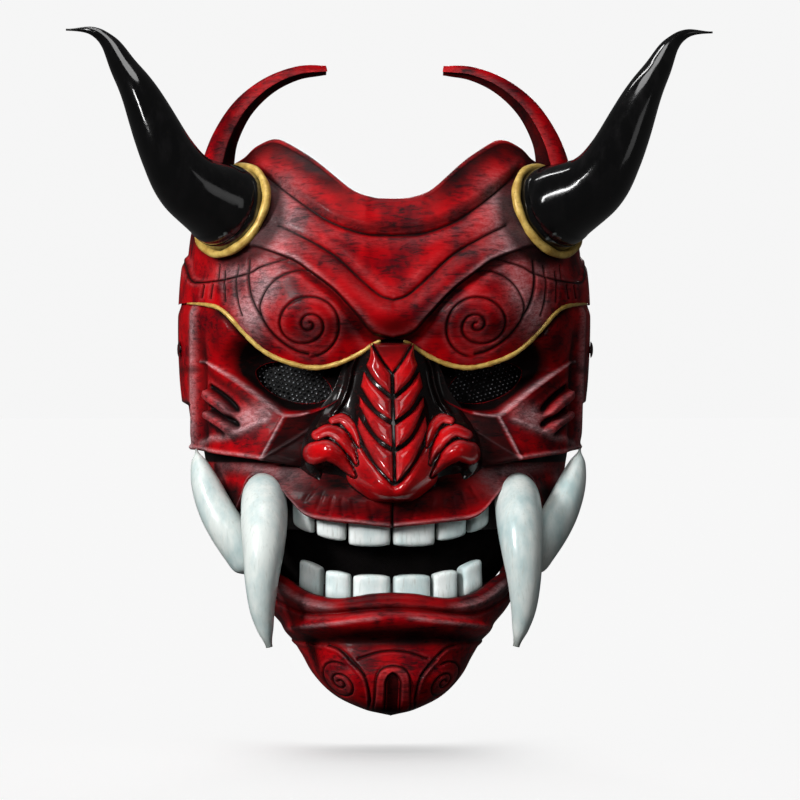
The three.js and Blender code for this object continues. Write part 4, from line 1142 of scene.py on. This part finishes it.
# ---------------------------------------------------------------- eye screens
def eye_screen(name):
    """Black sheet with rows of round dimples that stand for its holes, bent to the socket; the dimple floors
    carry the painted glints.
    """
    pitch, hole, thick = 2.2, 0.34, 0.9
    points, faces, floors = [], [], []
    turn = np.radians(np.arange(12) * 30)
    for row in range(-6, 7):
        for column in range(-11, 12):
            u, v = (column + (row % 2) / 2) * pitch, row * pitch * math.sqrt(3) / 2
            if (u / 22) ** 2 + (v / 11.5) ** 2 > 1:
                continue
            first = len(points)
            corner = pitch / math.sqrt(3)
            for t in turn[1::2]:
                points.append((u + corner * math.cos(t), v + corner * math.sin(t)))
            for t in turn:
                points.append((u + hole * math.cos(t), v + hole * math.sin(t)))
            for k in range(6):
                h = [first + 6 + (2 * k + 1 + j) % 12 for j in (2, 1, 0)]
                faces.append([first + k, first + (k + 1) % 6, *h])
            points.extend(points[first + 6 : first + 18])
            floors.extend(range(first + 18, first + 30))
            for k in range(12):
                after = (k + 1) % 12
                faces.append([first + 6 + k, first + 6 + after, first + 18 + after, first + 18 + k][::-1])
            faces.append(list(range(first + 18, first + 30))[::-1])
    p = np.array(points)
    sunk = np.zeros(len(p))
    sunk[floors] = 0.3
    x = EYE_AT[0] + p[:, 0] * math.cos(EYE_TILT) - p[:, 1] * math.sin(EYE_TILT)
    z = EYE_AT[1] + p[:, 0] * math.sin(EYE_TILT) + p[:, 1] * math.cos(EYE_TILT)
    middle = float(base_front(*EYE_AT))
    y = sunk - (middle - 17.2 - 0.36 * (x - EYE_AT[0]) - 0.004 * (x - EYE_AT[0]) ** 2)
    made = mesh_object(name, np.stack([x, y, z], -1), faces, SCREEN, {"dot": sunk / 0.3})
    weld = made.modifiers.new("weld", "WELD")
    weld.merge_threshold = 0.00005
    solid = made.modifiers.new("thickness", "SOLIDIFY")
    solid.thickness = thick / 1000
    return applied(made)


# ---------------------------------------------------------------- teeth and tusks
UPPER_ARCH, LOWER_ARCH = 60, 53  # half widths of the two rows of teeth
ARCH_BACK, ARCH_REACH = 34, 78.5
TOOTH_TALL = 15.5


def arch_front(half_width, x):
    """How far the arch of a row of teeth stands in front of the rim plane, at a distance to the side."""
    s = np.clip(np.abs(x) / half_width, 0, 1) ** (1 / ROUNDNESS)
    return ARCH_BACK + (ARCH_REACH - ARCH_BACK) * np.sqrt(1 - s * s) ** ROUNDNESS


def tooth(name, left, right, low, high, slope, half_width, seed, upper):
    """A blocky tooth: a rounded box with a bowed face and slightly uneven edges."""
    draw = np.random.default_rng(seed)
    lean, bow = draw.uniform(-0.03, 0.03, 2)
    turn = np.linspace(0, 2 * np.pi, 72, endpoint=False)
    rise = np.linspace(-1, 1, 40)
    ring_x, ring_y = squared(np.cos(turn), 0.34), squared(np.sin(turn), 0.62)
    shrink = (1 - np.abs(rise) ** 7) ** 0.36
    width, tall, deep = (right - left) / 2, (high - low) / 2, 4.4
    x = width * ring_x[None, :] * (0.86 + 0.14 * shrink[:, None]) * np.where(shrink[:, None] > 0.02, 1, 0.8)
    z = tall * rise[:, None] + 0 * x
    end = -1 if upper else 1
    z = z - end * 0.8 * (x / width) ** 2 * smooth(end * rise[:, None], 0.2, 1) + x * (slope + lean)
    y = -deep * ring_y[None, :] * shrink[:, None] * (1 + bow) - 0.9 * (1 - (x / width) ** 2)
    y = y - 0.7 * smooth(-end * rise[:, None], -0.4, 1)
    inner, outer = arch_front(half_width, left), arch_front(half_width, right)
    swing = 0.75 * math.atan2(inner - outer, right - left)
    centre = (left + right) / 2
    middle = arch_front(half_width, centre) + 1.4
    px = centre + x * math.cos(swing) - y * math.sin(swing)
    py = -middle + x * math.sin(swing) + y * math.cos(swing)
    rings = np.stack([px, py, (low + high) / 2 + z], -1)
    # Darker towards the root, and painted shade along the sides where the teeth meet.
    root = 0.4 * smooth(rise[:, None], 0.4, 1.0) if upper else 0.5 * smooth(-rise[:, None], 0.1, 0.9)
    sides = smooth(np.abs(x) / width, 0.9, 1.0) * 0.4
    return lofted(name, rings, TEETH_WITH_PAINTED_LIGHT, {"dark_paint_and_shade": np.maximum(root + 0 * x, sides), "wear_and_sheen": 0 * x})


# Each tooth's inner and outer side, the height of its biting edge, and the edge's slope.
UPPER_TEETH = ((0.6, 20.8, 82.2, 0.03), (21.7, 35.9, 85.6, 0.2), (36.9, 46.8, 90.0, 0.45))
LOWER_TEETH = ((0.6, 18.6, 69.0, 0.0), (19.3, 31.6, 70.6, 0.15), (32.4, 43.6, 74.6, 0.35))


def tusk(name, route, radius, flat):
    """A curved tusk, a little flattened, with stained ends."""
    share = np.linspace(0, 1, len(route))
    rings = tube_rings(route, radius(share), 56, flat=flat)
    stain = smooth(share, 0.9, 1.0)[:, None] * 0.75 + smooth(1 - share, 0.9, 1.0)[:, None] * 0.4
    return lofted(name, rings, IVORY, {"dark_paint_and_shade": stain + 0 * rings[..., 0], "wear_and_sheen": 0 * rings[..., 0]})


def upper_tusk(name):
    route = line((61.6, -61, 111), (61.4, -67, 108.5), (61.4, -75, 104), (61.6, -86, 94), (62.2, -92.5, 81),
                 (63.0, -95, 67), (62.8, -95, 54), (61.4, -94, 44), (59.3, -93, 34.6), steps=20)
    radius = through((0, 3.0), (0.06, 8.0), (0.14, 10.2), (0.25, 11.5), (0.38, 11.6), (0.5, 10.4),
                     (0.63, 8.4), (0.76, 6.4), (0.88, 4.3), (1, 1.7))
    return tusk(name, route, radius, 0.96)


def lower_tusk(name):
    route = line((64.5, -61, 69), (72, -62, 80), (79.5, -61, 91), (85, -58, 101), (89.5, -55, 112),
                 (92.6, -52, 122), (94, -50, 129), steps=20)
    radius = through((0, 4.0), (0.08, 9.0), (0.17, 9.7), (0.34, 9.5), (0.5, 8.9), (0.67, 7.3), (0.84, 4.2),
                     (1, 0.6))
    return tusk(name, route, radius, 0.95)


# ---------------------------------------------------------------- mouth
lining_width = through((58, 55), (66, 61), (74, 67), (88, 74), (116, 75))


def arch_band(name, half_width, low, high, inset, thick, material, bulge=0.0, reach=80):
    """A curved wall that follows the arch of the teeth, some way inside it."""
    angle = np.radians(np.linspace(-reach, reach, 120))[None, :]
    share = np.linspace(0, 1, 24)[:, None]
    z = low + (high - low) * share + 0 * angle
    swell = bulge * np.sin(np.pi * share) ** 0.7 + 0.3 * np.sin(angle * 40) * np.sin(np.pi * share)
    angle = np.broadcast_to(angle, z.shape)
    outer, _ = section(half_width, lambda z: ARCH_REACH, ARCH_BACK, angle, z, swell - inset)
    inner, _ = section(half_width, lambda z: ARCH_REACH, ARCH_BACK, angle, z, -inset - thick)
    return thick_sheet(name, outer, inner, material, {}, step=3)


# ---------------------------------------------------------------- padding and strap
def swollen(made, cap):
    """Cloth under pressure fills a slack pad out; no point moves further than the cap, in metres."""
    remesh = made.modifiers.new("even mesh", "REMESH")
    remesh.mode = "VOXEL"
    remesh.voxel_size = 0.002
    applied(made)
    before = points_of(made.data)
    cloth = made.modifiers.new("cover", "CLOTH")
    cloth.settings.use_pressure = True
    cloth.settings.uniform_pressure_force = 4
    cloth.settings.effector_weights.gravity = 0
    for frame_number in range(1, 21):
        bpy.context.scene.frame_set(frame_number)
    move = points_of(made.evaluated_get(bpy.context.evaluated_depsgraph_get()).data) - before
    made.modifiers.clear()
    bpy.context.scene.frame_set(1)
    length = np.maximum(np.linalg.norm(move, axis=1), 1e-9)
    move *= (np.minimum(length, cap) / length)[:, None]
    made.data.vertices.foreach_set("co", (before + move).ravel())


def sewn(made, place, channels, depth):
    """Sinks stitched channels into a pad. place gives each point's share across and up, from -1 to 1."""
    made.modifiers.new("finer", "SUBSURF").levels = 1
    applied(made)
    points = points_of(made.data)
    normals = np.zeros(points.size, np.float32)
    made.data.vertex_normals.foreach_get("vector", normals)
    normals = normals.reshape(-1, 3)
    across, up = place(points * 1000 - [0, 0, CHIN * 1000])
    border = (np.abs(across) ** 8 + np.abs(up) ** 6) ** (1 / 7)
    sunk = bell(border, 0.8, 0.05)
    for channel in channels:
        sunk = np.maximum(sunk, bell(across, channel, 0.035) * (border < 0.8))
    made.data.vertices.foreach_set("co", (points - normals * (sunk * depth / 1000)[:, None]).ravel())
    made.data.polygons.foreach_set("use_smooth", [True] * len(made.data.polygons))
    made.data.attributes.new("seam", "FLOAT", "POINT").data.foreach_set("value", sunk.astype(np.float32))
    return made


def pad(name, at, place, channels, half_thick):
    """A foam pad in a sewn cloth cover; at gives its middle surface and outward direction."""
    across = np.linspace(-1, 1, 61)[None, :]
    up = np.linspace(-1, 1, 25)[:, None]
    middle, out = at(across * np.sqrt(1 - 0.12 * up**2), up * np.sqrt(1 - 0.12 * across**2))
    full = ((1 - np.abs(across) ** 8) * (1 - np.abs(up) ** 5)) ** 0.5
    lift = (half_thick * (0.12 + 0.88 * full))[..., None] * out
    made = thick_sheet(name, middle + lift, middle - lift, FOAM, {}, step=1)
    swollen(made, 0.0008)
    sewn(made, place, channels, 0.6)
    return made


def forehead_pad():
    def at(across, up):
        angle = np.radians(33 * across)
        return section(face_width, face_reach, 0, angle, 224 + 11 * up, -9.6 + 0 * angle)

    def place(p):
        return p[:, 0] / 61, (p[:, 2] - 224) / 11.4

    return pad("forehead_pad", at, place, (-0.36, 0.36), 2.7)


def temple_pad(name):
    def at(across, up):
        angle = np.radians(69 + 8.4 * across)
        return section(face_width, face_reach, 0, angle, 219 + 12 * up, -8.2 + 0 * angle)

    def place(p):
        return (p[:, 1] + 41) / 14.2, (p[:, 2] - 219) / 12.4

    return pad(name, at, place, (), 2.4)


STRAP_RUNS = (-11.2, -4.2)
STRAP_BAR = 84.5


def strap_route():
    """The strap's middle line seen from above: sewn end, left bar, front run, right bar and the tail."""
    front, back = STRAP_RUNS
    turn = np.radians(np.arange(0, 181, 12))[:, None]
    radius, middle = (back - front) / 2, (front + back) / 2
    left = [-STRAP_BAR, middle] + radius * np.hstack([-np.sin(turn), np.cos(turn)])
    right = [STRAP_BAR, middle] + radius * np.hstack([np.sin(turn), -np.cos(turn)])
    x = np.linspace(-62, -STRAP_BAR, 24, endpoint=False)
    sewn_end = np.stack([x, back - (back - front - 1.65) * smooth(x, -78, -70)], 1)
    front_run = np.stack([np.linspace(-STRAP_BAR, STRAP_BAR, 80)[1:-1], np.full(78, front)], 1)
    tail = np.stack([np.linspace(STRAP_BAR, 12, 50)[1:], np.full(49, back)], 1)
    return np.vstack([sewn_end, left, front_run, right, tail])


def head_strap():
    """Woven elastic 25 mm wide with a slightly thicker edge on each side."""
    flat = strap_route()
    route = np.column_stack([flat, np.full(len(flat), 178.0)])
    out = np.cross(unit(np.gradient(route, axis=0)), [0, 0, 1])
    turn = np.linspace(0, 2 * np.pi, 64, endpoint=False)
    wide = 12.5 * squared(np.cos(turn), 0.5)
    thick = (0.66 + 0.14 * bell(np.abs(wide), 11.5, 0.7)) * squared(np.sin(turn), 0.3)
    rings = route[:, None] + wide[None, :, None] * np.array([0, 0, 1.0]) + out[:, None] * thick[None, :, None]
    return lofted("head_strap", rings, ELASTIC)


def strap_stitching():
    """A box and cross of thread that holds the strap's folded end to its front run."""
    corners = [(-68.5, 168.5), (-63.5, 168.5), (-63.5, 187.5), (-68.5, 187.5), (-68.5, 168.5), (-63.5, 187.5)]
    flat = line(*corners, (-68.5, 187.5), (-63.5, 168.5), steps=8)
    route = np.column_stack([flat[:, 0], np.full(len(flat), STRAP_RUNS[0] - 0.72), flat[:, 1]])
    return lofted("strap_stitching", tube_rings(route, 0.28, 8, across=(0, 1, 0)), ELASTIC)


def rounded_box(name, low, high, material):
    """A box with rounded edges and corners between two opposite corners."""
    low, high = np.array(low, float), np.array(high, float)
    turn = np.linspace(0, 2 * np.pi, 40, endpoint=False)[None, :]
    rise = np.linspace(-np.pi / 2, np.pi / 2, 30)[1:-1, None]
    level = squared(np.cos(rise), 0.25)
    sides = [level * squared(wave, 0.25) for wave in (np.cos(turn), np.sin(turn))]
    shape = np.stack([*sides, squared(np.sin(rise), 0.25) + 0 * turn], -1)
    return lofted(name, (low + high) / 2 + shape * (high - low) / 2, material)


def strap_slider():
    """A ladder slider: two rails, and bars in front of, between and behind the two runs of the strap."""
    rails = [((35, -14.2, z), (55, -1.2, z + 3)) for z in (161.9, 191.1)]
    places = ((35, -14.2, 1.6), (51.6, -14.2, 1.6), (43.3, -9.8, 4.2), (35, -2.8, 1.6), (51.6, -2.8, 1.6))
    bars = [((x, near, 162.9), (x + 3.4, near + deep, 193.1)) for x, near, deep in places]
    for i, (low, high) in enumerate(rails + bars, 1):
        bar = rounded_box(f"strap_slider_bar_{i}", low, high, PLASTIC)
        finished(bar, "black_plastic", "strap_slider", body="slider")


def build_harness():
    finished(forehead_pad(), "foam", "forehead_pad")
    left_pad, _ = pair(temple_pad, "temple_pad", "foam")
    finished(head_strap(), "elastic", "head_strap")
    stitching = strap_stitching()
    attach(stitching, BODY)
    strap_slider()


# ---------------------------------------------------------------- the assembly
def build_face():
    finished(brow(), "red_lacquer", "face_shell")
    finished(cheeks(), "red_lacquer", "face_shell")
    finished(nose(), "gloss_red", "nose")
    finished(upper_lip(), "red_lacquer", "muzzle")
    jaw_piece = finished(jaw(), "red_lacquer", "lower_jaw")
    horns = pair(horn, "horn", "black_horn")
    pair(collar, "horn_ring", "gold")
    pair(crown_arm, "crown_arm", "red_lacquer")
    pair(brow_trim, "brow_trim", "gold")
    pair(eye_screen, "eye_screen", "black_mesh")
    pair(upper_tusk, "upper_tusk", "ivory")
    pair(lower_tusk, "lower_tusk", "ivory")
    for i, (left, right, low, slope) in enumerate(UPPER_TEETH, 1):
        pair(lambda n: tooth(n, left, right, low, low + TOOTH_TALL, slope, UPPER_ARCH, 10 + i, True),
             f"upper_tooth_{i}", "ivory")
    for i, (left, right, high, slope) in enumerate(LOWER_TEETH, 1):
        pair(lambda n: tooth(n, left, right, high - TOOTH_TALL, high, slope, LOWER_ARCH, 20 + i, False),
             f"lower_tooth_{i}", "ivory")
    lining = arch_band("mouth_lining", lining_width, 56, 117, 8.0, 1.5, LINING, reach=88)
    finished(lining, "black_cloth", "mouth_lining")
    gums = (("upper_gum", UPPER_ARCH, 90, 112), ("lower_gum", LOWER_ARCH, 50, 64))
    for name, half_width, low, high in gums:
        gum = arch_band(name, lambda z: half_width, low, high, 0.4, 5.6, GUM, 0.6)
        finished(gum, "dark_gum", name)
    return horns, jaw_piece


NODE_FINISH = {"horn_screw": STEEL, "horn_washer": STEEL, "strap_bracket": STEEL, "strap_rivet": RIVET}


def dress_nodes():
    for node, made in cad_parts.items():
        for key, material in NODE_FINISH.items():
            if node.endswith(key):
                made.data.materials.clear()
                made.data.materials.append(material)


# ---------------------------------------------------------------- camera, light and floor
def seen_and_lit(tree, seen, lit):
    """A colour that the camera sees as one grey, while lights and reflections get another."""
    path = tree.nodes.new("ShaderNodeLightPath")
    mix = tree.nodes.new("ShaderNodeMix")
    mix.data_type = "RGBA"
    tree.links.new(path.outputs["Is Camera Ray"], mix.inputs["Factor"])
    colours = [socket for socket in mix.inputs if socket.type == "RGBA"]
    colours[0].default_value = (lit, lit, lit, 1)
    colours[1].default_value = (seen, seen, seen, 1)
    return [socket for socket in mix.outputs if socket.type == "RGBA"][0]


def linked(name, state, *pieces):
    """A collection that tells a lamp which pieces alone it lights, or which it leaves out."""
    collection = bpy.data.collections.new(name)
    for piece in pieces:
        collection.objects.link(piece)
    for link in collection.collection_objects:
        link.light_linking.link_state = state
    return collection


def studio(horns, jaw_piece):
    scene = bpy.context.scene
    scene.view_settings.view_transform = "Standard"
    camera = bpy.data.objects.new("camera", bpy.data.cameras.new("camera"))
    scene.collection.objects.link(camera)
    scene.camera = camera
    azimuth, distance, field = math.radians(-3), 2.2, 0.388
    aim = Vector((0.0046, -0.07, CHIN + 0.153))
    camera.location = aim + distance * Vector((math.sin(azimuth), -math.cos(azimuth), 0))
    camera.rotation_euler = (aim - camera.location).to_track_quat("-Z", "Y").to_euler()
    camera.data.sensor_width = 36
    camera.data.lens = 36 * distance / field

    floor = bpy.data.objects.new("floor", bpy.data.meshes.new("floor"))
    half, level = 40.0, CHIN - 0.017
    corners = [(-half, -half, level), (half, -half, level), (half, half, level), (-half, half, level)]
    floor.data.from_pydata(corners, [], [(0, 1, 2, 3)])
    m = Nodes("floor paper")
    m.set(Base_Color=seen_and_lit(m.tree, 0.80, 0.12), Roughness=m.range(m.noise(3, 2), 0.3, 0.7, 0.95, 1.0))
    m.set(Emission_Color=seen_and_lit(m.tree, 0.56, 0.0), Emission_Strength=1.0)
    m.shader.inputs["Specular IOR Level"].default_value = 0.0
    floor.data.materials.append(m.material)
    scene.collection.objects.link(floor)
    without_floor = linked("all but the floor", "EXCLUDE", floor)
    without_horns = linked("all but the floor and the horns", "EXCLUDE", floor, *horns)
    only_horns = linked("the horns", "INCLUDE", *horns)

    world = bpy.data.worlds.new("studio")
    scene.world = world
    world.use_nodes = True
    background = world.node_tree.nodes["Background"]
    world.node_tree.links.new(seen_and_lit(world.node_tree, 0.92, 0.05), background.inputs["Color"])
    background.inputs["Strength"].default_value = 1.0

    # The jaw alone shades the floor, in a soft oval that is longer from front to back than across.
    near_floor = linked("shades the floor", "INCLUDE", jaw_piece)
    ground = linked("the floor", "INCLUDE", floor)
    suns = [("top", (0.15, 0.4, -1), 34, 1.02, without_floor, None)]
    for tilt in (-68, -50, -30, -8, 16):
        across, down = math.sin(math.radians(tilt)), math.cos(math.radians(tilt))
        suns.append((f"floor light {tilt}", (0, across, -down), 24, 0.26 / down, ground, near_floor))
    for name, towards, angle, power, lit, shading in suns:
        sun = bpy.data.objects.new(name, bpy.data.lights.new(name, "SUN"))
        sun.data.energy = power
        sun.data.angle = math.radians(angle)
        sun.rotation_euler = Vector(towards).to_track_quat("-Z", "Y").to_euler()
        sun.light_linking.receiver_collection = lit
        sun.light_linking.blocker_collection = shading
        scene.collection.objects.link(sun)
    lights = (
        ("key", (-0.85, -0.85, 0.42), (0.20, 0.38), 2.8, without_horns),
        ("horn streaks", (-0.85, -0.85, 0.42), (0.07, 0.30), 0.35, only_horns),
        ("front", (-0.25, -1.5, 0.45), (0.35, 0.35), 0.6, without_horns),
        ("over", (-0.22, 0.10, 0.80), (0.05, 0.40), 0.2, without_floor),
        ("fill", (1.2, -1.1, 0.2), (0.5, 0.7), 0.12, without_floor),
        ("back", (0.2, 1.6, 0.5), (0.6, 0.6), 2.5, without_horns),
    )
    for name, place, size, power, lit in lights:
        light = bpy.data.objects.new(name, bpy.data.lights.new(name, "AREA"))
        light.data.shape = "RECTANGLE"
        light.data.size, light.data.size_y = size
        light.data.energy = power
        light.data.spread = math.radians(80)
        light.light_linking.receiver_collection = lit
        light.location = place
        light.rotation_euler = (Vector((0, -0.06, 0)) - light.location).to_track_quat("-Z", "Y").to_euler()
        scene.collection.objects.link(light)


studio(*build_face())
build_harness()
dress_nodes()
